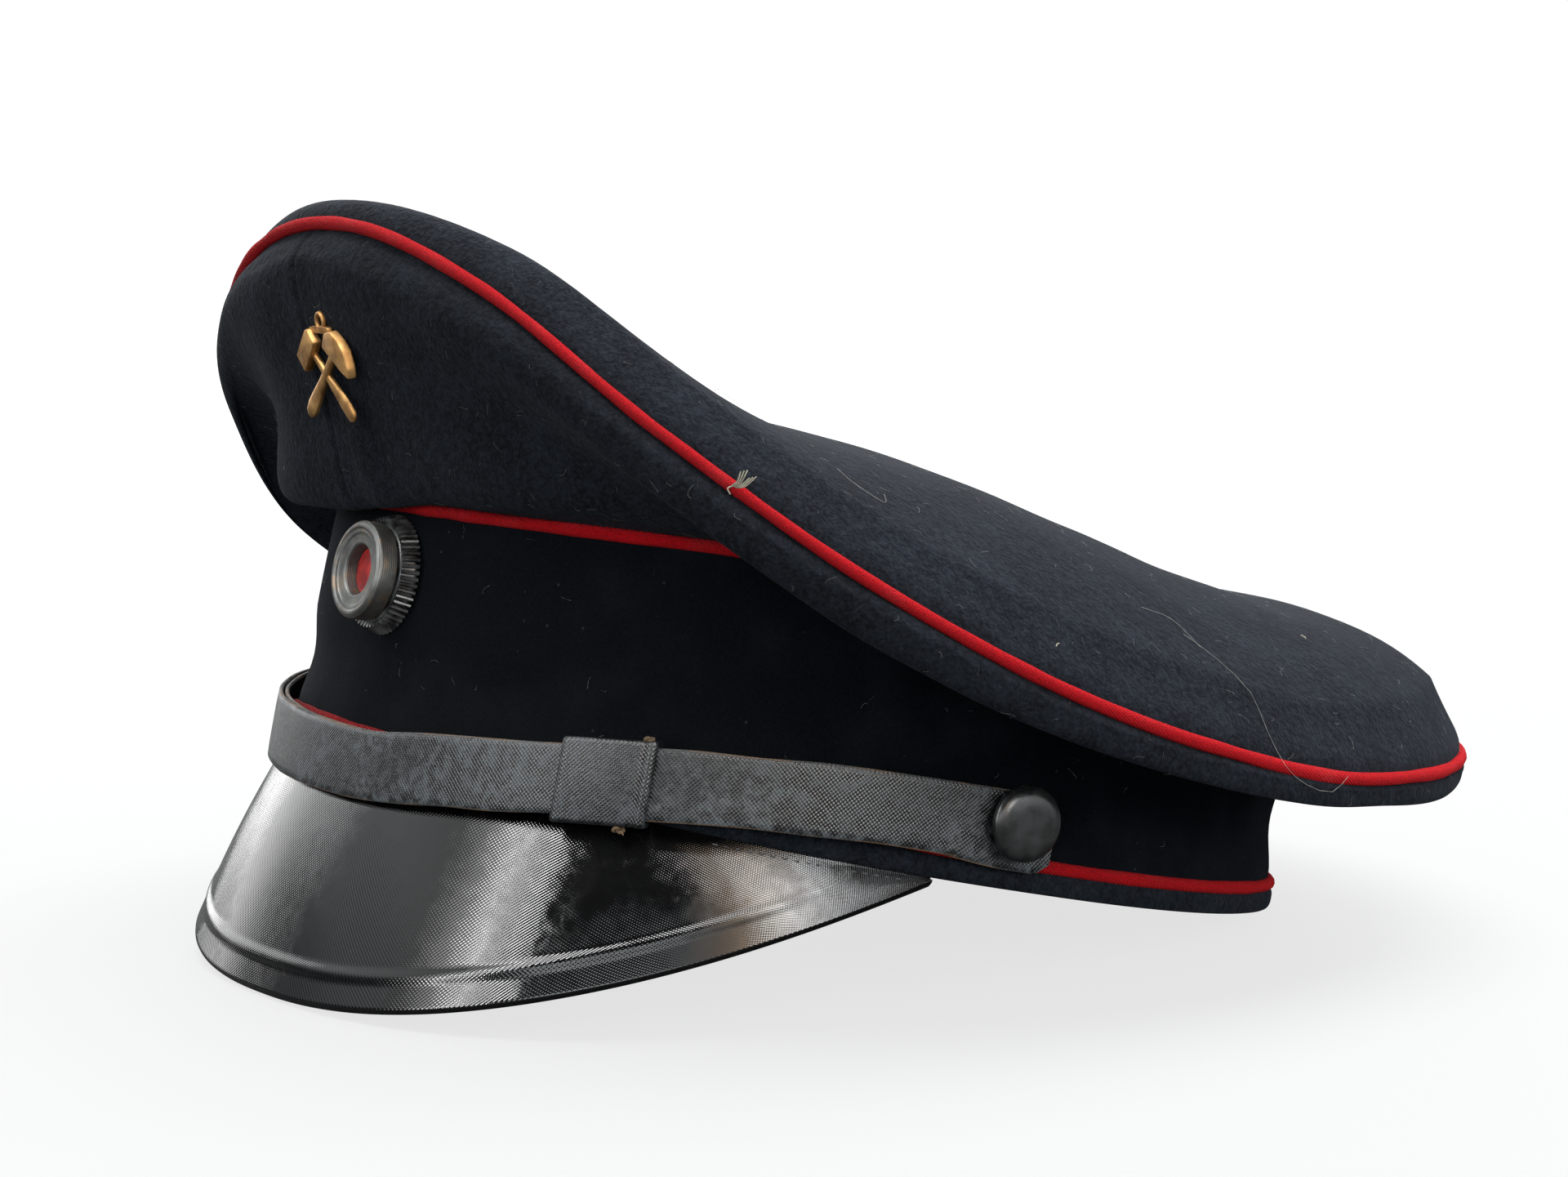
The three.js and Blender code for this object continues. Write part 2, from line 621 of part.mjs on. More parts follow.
// The mallet: a square block, or the pick: an arched head that runs out to a point
function headShape(pick) {
  const { handleLength, headWidth, headHeight, pickTaper, pickReach, pickLift, pickArch } = BADGE;
  const half = headWidth / 2;
  const foot = handleLength - headHeight / 2;
  const top = foot + headHeight;
  const shape = new THREE.Shape();
  if (pick) {
    shape.moveTo(pickTaper - half, foot);
    shape.lineTo(half + pickReach, foot + pickLift);
    shape.quadraticCurveTo(half, top + 3 * pickArch, pickTaper - half, top + pickArch);
  } else {
    shape.moveTo(-half, foot);
    shape.lineTo(half, foot);
    shape.lineTo(half, top);
    shape.lineTo(-half, top);
  }
  shape.closePath();
  return shape;
}

function hammer(pick, side) {
  const { thickness, crossing, rise, lean } = BADGE;
  const depth = pick ? thickness + rise : thickness;
  const shaft = toManifold(extruded(handleShape(), depth));
  const head = toManifold(extruded(headShape(pick), thickness + 2 * rise));
  const turn = new THREE.Matrix4().makeRotationZ(side * degrees(lean / 2));
  const down = new THREE.Matrix4().makeTranslation(0, -crossing, 0);
  const geometry = fromManifold(shaft.add(head));
  return toManifold(geometry.applyMatrix4(turn.multiply(down)));
}

function badgeSolid() {
  const { thickness, barLength, barHeight, barPlace, loopRadius, loopWire, loopPlace } = BADGE;
  const bar = new THREE.BoxGeometry(barLength, barHeight, thickness).translate(0, barPlace, thickness / 2);
  const loop = new THREE.TorusGeometry(loopRadius, loopWire, 5, 12).translate(0, loopPlace, thickness / 2);
  const hammers = hammer(false, 1).add(hammer(true, -1));
  return fromManifold(hammers.add(toManifold(bar)).add(toManifold(loop)));
}

function addBadge() {
  const badge = addPiece('hammers_badge', badgeSolid(), agedBrass);
  const seat = quarterPoint(0, BADGE.share);
  const step = 0.05;
  const up = quarterPoint(0, BADGE.share + step).sub(quarterPoint(0, BADGE.share - step)).normalize();
  const across = new THREE.Vector3(1, 0, 0);
  up.applyAxisAngle(across, -degrees(BADGE.pitch));
  const out = across.clone().cross(up).normalize();
  badge.quaternion.setFromRotationMatrix(new THREE.Matrix4().makeBasis(across, up, out));
  badge.position.copy(seat).addScaledVector(out, BADGE.stand);
}

// Rest: the tilt that puts the peak's edge and the rear of the rim on one level
function heightAboveRest(point, tilt) {
  return point.z * Math.cos(tilt) - point.y * Math.sin(tilt);
}

function restingPose() {
  const edge = peakPoint(0, PEAK.reach, PEAK.thickness);
  const rear = besideOval(BAND_FOOT, 180, WELT.foot, rimHeight(180) + WELT.squash);
  const tilt = Math.atan2(rear.z - edge.z, rear.y - edge.y);
  return { tilt, floor: heightAboveRest(edge, tilt) };
}

const rest = restingPose();

addPiece('crown_top', crownTop(), navyFelt);
addPiece('crown_quarters', crownQuarters(), navyFelt);
addPiece('crown_piping', pipingCord(CROWN_EDGE, crownPipingHeight, 0), redWool);
addPiece('upper_piping', pipingCord(BAND_HEAD, upperPipingHeight, PIPING_PROUD), redWool);
addPiece('band', bandWall(), bandVelvet);
addPiece('lower_piping', pipingCord(BAND_FOOT, lowerPipingHeight, PIPING_PROUD), redWool);
addPiece('base_welt', baseWelt(rest), navyFelt);
addPiece('peak', peakSolid(), lacquer);
addPiece('strap_left', strapHalf(1, 0), strapLeather);
addPiece('strap_right', strapHalf(-1, 1), strapLeather);
addPiece('keeper_left', keeper(KEEPER.left), strapLeather);
addPiece('keeper_right', keeper(KEEPER.right), strapLeather);
const buttonSeat = tableValue(STRAP_ROUTE, STRAP_SPACING, 'off', BUTTON.angle) - layerDepth[1] + SEAM_GAP;
const { angle: buttonAngle, height: buttonHeight, sides: buttonSides } = BUTTON;
turned('button_left', buttonProfile(), buttonSides, blackEnamel, buttonAngle, buttonSeat, buttonHeight);
turned('button_right', buttonProfile(), buttonSides, blackEnamel, -buttonAngle, buttonSeat, buttonHeight);
addCockade();
addBadge();

// The cap stands tilted on the surface, centred over the origin
cap.rotation.x = -rest.tilt;
cap.updateMatrixWorld(true);
const box = new THREE.Box3().setFromObject(cap, true);
cap.position.y = -(box.min.y + box.max.y) / 2;
cap.position.z = -rest.floor;

export default cap;
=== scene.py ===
"""Looks of a peaked officer's cap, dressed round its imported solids.

The cap is shaped upright in a frame of its own, in millimetres: the origin is the centre of the band's
bottom rim, the wearer looks along -Y and the wearer's left is +X. Angles go round the head in degrees, 0 at
the front and 90 at the wearer's left. CapPose then stands the cap on its peak and the back of its band.
"""

import logging
import math
from dataclasses import dataclass, field, fields
from enum import Enum
from typing import Any, Optional, Sequence, Union

import bpy
import numpy as np
from bpy.types import Material, Node, NodeSocket, Object
from mathutils import Matrix, Vector


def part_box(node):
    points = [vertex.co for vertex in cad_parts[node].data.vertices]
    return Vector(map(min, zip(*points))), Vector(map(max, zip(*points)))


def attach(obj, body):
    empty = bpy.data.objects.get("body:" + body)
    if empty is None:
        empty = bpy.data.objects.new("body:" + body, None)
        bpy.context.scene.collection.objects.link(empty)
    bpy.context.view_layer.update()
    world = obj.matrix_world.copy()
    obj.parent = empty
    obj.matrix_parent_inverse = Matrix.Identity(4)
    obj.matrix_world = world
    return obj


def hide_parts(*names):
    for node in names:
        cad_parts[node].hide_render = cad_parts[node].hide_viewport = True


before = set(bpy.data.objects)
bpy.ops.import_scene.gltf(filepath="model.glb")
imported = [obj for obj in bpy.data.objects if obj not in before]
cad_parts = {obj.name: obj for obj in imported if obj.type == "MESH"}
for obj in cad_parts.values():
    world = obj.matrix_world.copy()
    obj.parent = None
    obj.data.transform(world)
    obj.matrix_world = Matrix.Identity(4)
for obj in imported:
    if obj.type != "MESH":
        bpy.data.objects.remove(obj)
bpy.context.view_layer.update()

LOG = logging.getLogger("cap")
BODY = "root"
MM = 0.001
TURN = 360.0

Array = np.ndarray
Numbers = Union[float, Array]
Colour = tuple[float, float, float]
Settings = Optional[dict[str, Any]]
Inputs = Optional[dict[Any, Any]]


class Slot(Enum):
    """The record's material slots."""

    FELT = "crown_felt"
    VELVET = "band_velvet"
    PIPING = "red_piping"
    LACQUER = "peak_lacquer"
    LEATHER = "strap_leather"
    ENAMEL = "button_enamel"
    STEEL = "cockade_steel"
    RED = "cockade_red"
    BRASS = "badge_brass"


class Side(Enum):
    """A side of the cap, as the sign of its angles."""

    LEFT = 1
    RIGHT = -1


# Numbers and curves


def smooth_step(value: Numbers, low: float, high: float) -> Array:
    """A smooth rise from 0 at low to 1 at high."""
    share = np.clip((np.asarray(value, float) - low) / (high - low), 0.0, 1.0)
    return share * share * (3.0 - 2.0 * share)


def mix(start: Numbers, end: Numbers, share: Numbers) -> Array:
    """The value at a share of the way from start to end."""
    return start + (end - start) * share


def turned_from(angle: Numbers, centre: float) -> Array:
    """How far an angle lies from a centre, between -180 and 180 degrees."""
    return (np.asarray(angle, float) - centre + TURN / 2) % TURN - TURN / 2


def table_value(rows: Sequence[float], spacing: float, angle: Numbers) -> Array:
    """Reads a column of an evenly spaced table smoothly, mirrored about both ends.

    Args:
        rows: the column's values, from the front of the cap towards the rear.
        spacing: degrees between rows.
        angle: where to read it, in degrees.

    Returns:
        The values at the angles.
    """
    values = np.asarray(rows, float)
    last = len(values) - 1
    place = np.abs(turned_from(angle, 0.0)) / spacing
    start = np.minimum(np.floor(place).astype(int), last - 1)
    t = place - start

    def row(index: Array) -> Array:
        """The value of a row, counted past either end by mirroring."""
        folded = np.abs(index)
        return values[np.where(folded > last, 2 * last - folded, folded)]

    a, b, c, d = (row(start + step) for step in (-1, 0, 1, 2))
    return b + 0.5 * t * (c - a + t * (2 * a - 5 * b + 4 * c - d + t * (3 * (b - c) + d - a)))


def spline(stations: Array, shares: Array) -> Array:
    """Runs a smooth curve through stations.

    Args:
        stations: points of the curve, shaped (..., stations, coordinates).
        shares: where to read it, from 0 at the first station to 1 at the last.

    Returns:
        The curve's points, shaped (..., shares, coordinates).
    """
    last = stations.shape[-2] - 1
    place = np.clip(shares, 0.0, 1.0) * last
    start = np.minimum(np.floor(place).astype(int), last - 1)
    t = (place - start)[:, None]
    a, b, c, d = (stations[..., np.clip(start + step, 0, last), :] for step in (-1, 0, 1, 2))
    first = 0.5 * (c - a)
    second = 0.5 * (d - b)
    cubic = 2 * b - 2 * c + first + second
    square = 3 * c - 3 * b - 2 * first - second
    return ((cubic * t + square) * t + first) * t + b


def smooth_table(places: Sequence[float], values: Sequence[float], at: Numbers) -> Array:
    """Reads an unevenly spaced table along a smooth curve.

    Args:
        places: where the rows lie, rising.
        values: the rows' values.
        at: where to read the table.

    Returns:
        The values there.
    """
    x = np.asarray(places, float)
    y = np.asarray(values, float)
    last = len(x) - 1
    at = np.clip(at, x[0], x[-1])
    following = np.clip(np.searchsorted(x, at), 1, last)
    start = following - 1

    def slope(index: Array) -> Array:
        """The curve's slope at a row."""
        low = np.maximum(index - 1, 0)
        high = np.minimum(index + 1, last)
        return (y[high] - y[low]) / (x[high] - x[low])

    span = x[following] - x[start]
    t = (at - x[start]) / span
    leaving = slope(start) * span
    arriving = slope(following) * span
    rise = y[following] - y[start]
    bend = 3 * rise - 2 * leaving - arriving
    return y[start] + t * (leaving + t * (bend + t * (leaving + arriving - 2 * rise)))


def soft_noise(points: Array, size: float, seed: int) -> Array:
    """Smooth unevenness between about -1 and 1, the same in every run.

    Args:
        points: where to read it, shaped (..., 3).
        size: how long one swelling is.
        seed: picks the pattern.

    Returns:
        One value for each point.
    """
    waves = 14
    draw = np.random.default_rng(seed)
    ways = draw.normal(size=(waves, 3))
    ways *= (draw.uniform(0.6, 1.6, waves) / np.linalg.norm(ways, axis=1))[:, None]
    phases = draw.uniform(0.0, 2 * math.pi, waves)
    return np.sin(points @ ways.T * (math.pi / size) + phases).sum(-1) / math.sqrt(waves)


def filleted(points: Sequence[Sequence[float]], radius: float, steps: int = 3, closed: bool = False) -> Array:
    """Rounds the corners of a flat outline.

    Args:
        points: the outline's corners.
        radius: how far from each corner its rounding starts.
        steps: parts that each rounding has.
        closed: whether the outline returns to its first corner.

    Returns:
        The rounded outline's points, shaped (points, 2).
    """
    corners = np.asarray(points, float)
    count = len(corners)
    found = []
    for index, corner in enumerate(corners):
        if not closed and index in (0, count - 1):
            found.append(corner)
            continue
        ends = []
        for other in (corners[index - 1], corners[(index + 1) % count]):
            way = other - corner
            length = np.linalg.norm(way)
            ends.append(corner + way / length * min(radius, length / 2))
        for t in np.linspace(0.0, 1.0, steps + 1):
            found.append((1 - t) ** 2 * ends[0] + 2 * t * (1 - t) * corner + t * t * ends[1])
    return np.array(found)


def unit(ways: Array) -> Array:
    """Directions made one unit long."""
    return ways / np.maximum(np.linalg.norm(ways, axis=-1, keepdims=True), 1e-12)


def circle(count: int) -> Array:
    """Evenly spaced turns once round, in radians."""
    return np.linspace(0, 2 * math.pi, count, endpoint=False)


def lengths_along(path: Array) -> Array:
    """How far along a path each of its points lies."""
    return np.append(0, np.cumsum(np.linalg.norm(np.diff(path, axis=0), axis=1)))


def angles_round(step: float, seams: Sequence[float] = (), seam_reach: float = 3.0,
                 seam_step: float = 0.2) -> Array:
    """Angles once round the head, closer together at the seams.

    Args:
        step: degrees between angles.
        seams: angles of the seams.
        seam_reach: how far to each side of a seam the angles lie close.
        seam_step: degrees between angles there.

    Returns:
        The angles, rising from 0.
    """
    angles = set(np.round(np.arange(0.0, TURN, step), 3))
    for seam in seams:
        near = seam + np.arange(-seam_reach, seam_reach + seam_step / 2, seam_step)
        angles.update(np.round(near % TURN, 3))
    return np.array(sorted(angles))


# Shape of the head and the cap


@dataclass(frozen=True)
class Oval:
    """A ring round the head: its half lengths, its half width, and how full each end is (2 is an ellipse)."""

    front: float
    rear: float
    side: float
    front_fullness: float
    rear_fullness: float

    def point(self, angle: Numbers) -> Array:
        """The ring's points at these angles, in its plane."""
        c = np.cos(np.radians(angle))
        s = np.sin(np.radians(angle))
        fullness = np.where(c > 0, self.front_fullness, self.rear_fullness)
        reach = np.where(c > 0, self.front, self.rear)
        x = self.side * np.sign(s) * np.abs(s) ** (2 / fullness)
        y = -reach * np.sign(c) * np.abs(c) ** (2 / fullness)
        return np.stack([x, y], -1)

    def normal(self, angle: Numbers) -> Array:
        """The ring's outward directions at these angles."""
        step = 0.5
        along = self.point(np.asarray(angle) + step) - self.point(np.asarray(angle) - step)
        return unit(np.stack([along[..., 1], -along[..., 0]], -1))

    def beside(self, angle: Numbers, out: Numbers, height: Numbers) -> Array:
        """Points at a distance outwards from the ring, and at a height."""
        flat = self.point(angle) + self.normal(angle) * np.asarray(out, float)[..., None]
        x, y, z = np.broadcast_arrays(flat[..., 0], flat[..., 1], height)
        return np.stack([x, y, z], -1)


@dataclass(frozen=True)
class CapShape:
    """Sizes that the sub-assemblies share, in millimetres."""

    band_foot: Oval = Oval(99.2, 96.0, 89.0, 2.4, 2.0)
    band_head: Oval = Oval(99.6, 96.0, 84.0, 2.4, 2.0)
    crown_edge: Oval = Oval(125.0, 121.0, 122.5, 2.2, 2.2)
    lower_piping: float = 5.0
    upper_piping: float = 49.7
    rim_wave: float = 1.35
    upper_wave: float = -2.05
    side_rise: float = 1.5
    side_angle: float = 58.0
    side_half_angle: float = 15.0
    front_dip: float = 1.6
    front_angle: float = 6.0
    front_half_angle: float = 17.0
    piping_radius: float = 1.25
    piping_proud: float = 0.2
    seam_gap: float = 0.3
    seam_bite: float = 0.3

    @property
    def piping_seat(self) -> float:
        """How far the cloth's edge stays from the middle of a piping, which it presses against."""
        return self.piping_radius - self.seam_bite

    def rim_height(self, angle: Numbers) -> Array:
        """Height of the bottom rim, which dips and rises twice round the head."""
        return self.rim_wave * np.cos(2 * np.radians(angle))

    def welt_rise(self, angle: Numbers) -> Array:
        """How much taller the welt is beside the ends of the peak, less where it dips at the front."""
        from_side = (np.abs(turned_from(angle, 0.0)) - self.side_angle) / self.side_half_angle
        from_front = turned_from(angle, self.front_angle) / self.front_half_angle
        return self.side_rise * np.exp(-from_side ** 2) - self.front_dip * np.exp(-from_front ** 2)

    def lower_piping_height(self, angle: Numbers) -> Array:
        """Height of the piping under the band."""
        return self.lower_piping + self.rim_height(angle) + self.welt_rise(angle)

    def upper_piping_height(self, angle: Numbers) -> Array:
        """Height of the piping on the band's top edge."""
        return self.upper_piping + self.upper_wave * np.cos(2 * np.radians(angle))


@dataclass(frozen=True)
class CapPose:
    """Stands the upright cap on its peak's edge and the back of its band."""

    tilt: float
    shift: tuple[float, float, float]

    @classmethod
    def at_rest(cls, edge: Array, rear: Array, node: str, ring: Array) -> "CapPose":
        """Finds the pose from the two places that touch the surface and one node that is already there.

        Args:
            edge: the middle of the peak's edge.
            rear: the rear of the rim.
            node: a CAD node.
            ring: the same piece's points in the cap's own frame.

        Returns:
            The pose.
        """
        tilt = math.atan2(rear[2] - edge[2], rear[1] - edge[1])
        upright = cls(tilt, (0.0, 0.0, 0.0)).place(ring.reshape(-1, 3))
        middle = (upright.min(0) + upright.max(0)) / 2
        low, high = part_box(node)
        return cls(tilt, tuple(np.array((low + high) / 2) - middle))

    def place(self, points: Array) -> Array:
        """Moves points from the cap's frame, in millimetres, to the row frame, in metres."""
        c = math.cos(self.tilt)
        s = math.sin(self.tilt)
        turn = np.array([[1.0, 0.0, 0.0], [0.0, c, s], [0.0, -s, c]])
        return points * MM @ turn.T + np.array(self.shift)


# Meshes


def signed_volume(points: Array, faces: Sequence[Sequence[int]]) -> float:
    """Six times the volume inside faces of three or four sides, below 0 where they point inwards."""
    total = 0.0
    for sides in (3, 4):
        corners = np.array([face for face in faces if len(face) == sides], int).reshape(-1, sides)
        for k in range(1, sides - 1):
            a, b, c = (points[corners[:, column]] for column in (0, k, k + 1))
            total += float(np.sum(a * np.cross(b, c)))
    return total


@dataclass
class Shell:
    """Faces of a piece that is being made, in the cap's own frame."""

    points: Array
    faces: list[list[int]]
    uv: list[list[tuple[float, float]]]

    @classmethod
    def loft(cls, rings: Array, along: Optional[Array] = None, around: Optional[Array] = None,
             looped: bool = True) -> "Shell":
        """Makes a closed shell through equal rings of points.

        Args:
            rings: the rings, shaped (rings, sides, 3).
            along: the pattern's coordinate at each ring, and once more where a loop closes.
            around: the pattern's coordinate at each side, and once more where a ring closes.
            looped: whether the last ring joins the first. If not, each end gets a cap.

        Returns:
            The shell, its faces pointing outwards.
        """
        count, sides = rings.shape[:2]
        along = np.arange(count + 1.0) if along is None else np.asarray(along, float)
        around = np.arange(sides + 1.0) if around is None else np.asarray(around, float)
        points = rings.reshape(-1, 3)
        spans = count if looped else count - 1
        i, j = (grid.ravel() for grid in np.meshgrid(np.arange(spans), np.arange(sides), indexing="ij"))
        k = (j + 1) % sides
        n = (i + 1) % count
        quads = np.stack([i * sides + j, n * sides + j, n * sides + k, i * sides + k], -1)
        u = np.stack([along[i], along[i + 1], along[i + 1], along[i]], -1)
        v = np.stack([around[j], around[j], around[j + 1], around[j + 1]], -1)
        faces = quads.tolist()
        uv = np.stack([u, v], -1).tolist()
        if not looped:
            for start, forward in ((0, True), ((count - 1) * sides, False)):
                middle = len(points)
                points = np.vstack([points, points[start:start + sides].mean(0)])
                where = along[start // sides]
                for side in range(sides):
                    pair = [start + side, start + (side + 1) % sides]
                    faces.append([middle, *(pair if forward else pair[::-1])])
                    uv.append([[where, around[side]]] * 3)
        shell = cls(points, faces, uv)
        if signed_volume(shell.points, shell.faces) < 0:
            shell.faces = [face[::-1] for face in shell.faces]
            shell.uv = [corner[::-1] for corner in shell.uv]
        return shell

    @classmethod
    def joined(cls, shells: Sequence["Shell"]) -> "Shell":
        """Several shells as one."""
        faces, uv, start = [], [], 0
        for shell in shells:
            faces += [[index + start for index in face] for face in shell.faces]
            uv += shell.uv
            start += len(shell.points)
        return cls(np.vstack([shell.points for shell in shells]), faces, uv)

    def moved(self, place: Matrix) -> "Shell":
        """The shell turned and moved by a matrix in the cap's own frame."""
        matrix = np.array(place)
        return Shell(self.points @ matrix[:3, :3].T + matrix[:3, 3], self.faces, self.uv)


def tube(path: Array, radius: float, sides: int = 6, closed: bool = False) -> Shell:
    """A round thread along a path.

    Args:
        path: the thread's middle, shaped (points, 3).
        radius: its radius.
        sides: its faces round.
        closed: whether it returns to its start.

    Returns:
        The thread.
    """
    if closed:
        ahead = np.roll(path, -1, 0) - np.roll(path, 1, 0)
    else:
        ahead = np.gradient(path, axis=0)
    ahead = unit(ahead)
    up = np.array([0.31, 0.22, 0.93])
    across = unit(np.cross(ahead, up))
    other = np.cross(ahead, across)
    turn = circle(sides)
    ring = across[:, None] * np.cos(turn)[:, None] + other[:, None] * np.sin(turn)[:, None]
    length = lengths_along(path)
    return Shell.loft(path[:, None] + ring * radius, np.append(length, length[-1]),
                      np.linspace(0, 1, sides + 1), looped=closed)


def lathe(profile: Array, sides: int) -> Shell:
    """Turns a profile round +Y.

    Args:
        profile: rows of radius and height, from one end of the axis to the other, without points on it.
        sides: faces round.

    Returns:
        The turned shell. Its pattern runs round the axis and along the profile.
    """
    turn = circle(sides)
    rings = np.stack([
        profile[:, :1] * np.cos(turn), np.repeat(profile[:, 1:], sides, 1), profile[:, :1] * np.sin(turn),
    ], -1)
    return Shell.loft(rings, lengths_along(profile), np.linspace(0, 1, sides + 1), looped=False)


def linked(name: str, data: Any) -> Object:
    """A new object of the scene, at the origin."""
    thing = bpy.data.objects.new(name, data)
    bpy.context.scene.collection.objects.link(thing)
    return thing


class Maker:
    """Turns shells into the part's pieces."""

    def __init__(self, pose: CapPose) -> None:
        """Keeps the cap's pose."""
        self.pose = pose

    def mesh_object(self, name: str, shell: Shell, sharp: float = 40.0) -> Object:
        """Makes a mesh object at the origin, its place in its mesh.

        Args:
            name: the object's name.
            shell: its faces, in the cap's own frame.
            sharp: the angle past which an edge shades as a corner.

        Returns:
            The object.
        """
        mesh = bpy.data.meshes.new(name)
        mesh.from_pydata(self.pose.place(shell.points).tolist(), [], shell.faces)
        layer = mesh.uv_layers.new(name="Pattern")
        layer.data.foreach_set("uv", np.array([pair for corner in shell.uv for pair in corner]).ravel())
        mesh.polygons.foreach_set("use_smooth", [True] * len(mesh.polygons))
        mesh.set_sharp_from_angle(angle=math.radians(sharp))
        mesh.update()
        return linked(name, mesh)

    def piece(self, thing: Object, slot: Slot, material: Optional[Material] = None,
              replaces: Sequence[str] = ()) -> Object:
        """Gives a piece its material, attaches it to the body and hides the CAD nodes that it stands for.

        Args:
            thing: the piece.
            slot: not used.
            material: its material, unless it already has one.
            replaces: CAD nodes that it stands for.

        Returns:
            The piece.
        """
        if material is not None:
            thing.data.materials.clear()
            thing.data.materials.append(material)
        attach(thing, BODY)
        if replaces:
            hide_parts(*replaces)
        LOG.info("%s: %d faces", thing.name, len(thing.data.polygons))
        return thing


# Node trees


class Graph:
    """A node tree that is being filled."""

    def __init__(self, tree: bpy.types.NodeTree) -> None:
        """Empties the tree."""
        self.tree = tree
        tree.nodes.clear()

    def node(self, kind: str, settings: Settings = None, inputs: Inputs = None) -> Node:
        """Adds a node.

        Args:
            kind: the node's type.
            settings: its settings, with a ramp's stops as (place, colour) pairs.
            inputs: its sockets' values or links, by name or number, with a list for several links.

        Returns:
            The node.
        """
        node = self.tree.nodes.new(kind)
        for key, value in (settings or {}).items():
            if key == "stops":
                self.set_stops(node.color_ramp, value)
            else:
                setattr(node, key, value)
        for key, value in (inputs or {}).items():
            self.feed(node.inputs[key], value)
        return node

    def set_stops(self, ramp: bpy.types.ColorRamp, stops: Sequence[tuple[float, Colour]]) -> None:
        """Fills a ramp with (place, colour) pairs."""
        while len(ramp.elements) < len(stops):
            ramp.elements.new(1.0)
        for element, (place, colour) in zip(ramp.elements, stops):
            element.position = place
            element.color = (*colour, 1.0)

    def feed(self, socket: NodeSocket, value: Any) -> None:
        """Links a shade, a socket or a list of sockets to a socket, or sets its value."""
        if isinstance(value, Shade):
            value = value.socket
        if isinstance(value, NodeSocket):
            self.tree.links.new(value, socket)
        elif isinstance(value, list):
            for part in value:
                self.tree.links.new(part, socket)
        elif isinstance(value, tuple) and socket.type == "RGBA":
            socket.default_value = (*value[:3], 1.0)
        else:
            socket.default_value = value


class Shade:
    """One value of a material. Arithmetic on it adds Math nodes."""

    def __init__(self, tree: "Finishing", socket: NodeSocket) -> None:
        """Wraps a socket of a tree."""
        self.tree = tree
        self.socket = socket

    def math(self, operation: str, *others: Any) -> "Shade":
        """A Math node whose first value is this one."""
        inputs = dict(enumerate((self, *others)))
        return self.tree.shade("ShaderNodeMath", {"operation": operation}, inputs)

    def __add__(self, other: Any) -> "Shade":
        """This plus other."""
        return self.math("ADD", other)

    def __sub__(self, other: Any) -> "Shade":
        """This less other."""
        return self.math("SUBTRACT", other)

    def __mul__(self, other: Any) -> "Shade":
        """This times other."""
        return self.math("MULTIPLY", other)

    def __rsub__(self, other: float) -> "Shade":
        """A number less this."""
        return self.math("MULTIPLY", -1.0) + other

    __radd__ = __add__
    __rmul__ = __mul__

    def sine(self) -> "Shade":
        """The sine of this."""
        return self.math("SINE")

    def size(self) -> "Shade":
        """This without its sign."""
        return self.math("ABSOLUTE")

    def at_most(self, other: Any) -> "Shade":
        """The smaller of this and other."""
        return self.math("MINIMUM", other)

    def rise(self, low: float, high: float) -> "Shade":
        """A smooth rise from 0 at low to 1 at high, or a fall where low is the larger."""
        settings = {"interpolation_type": "SMOOTHSTEP"}
        return self.tree.shade("ShaderNodeMapRange", settings, {0: self, 1: low, 2: high, 3: 0.0, 4: 1.0})


# Materials


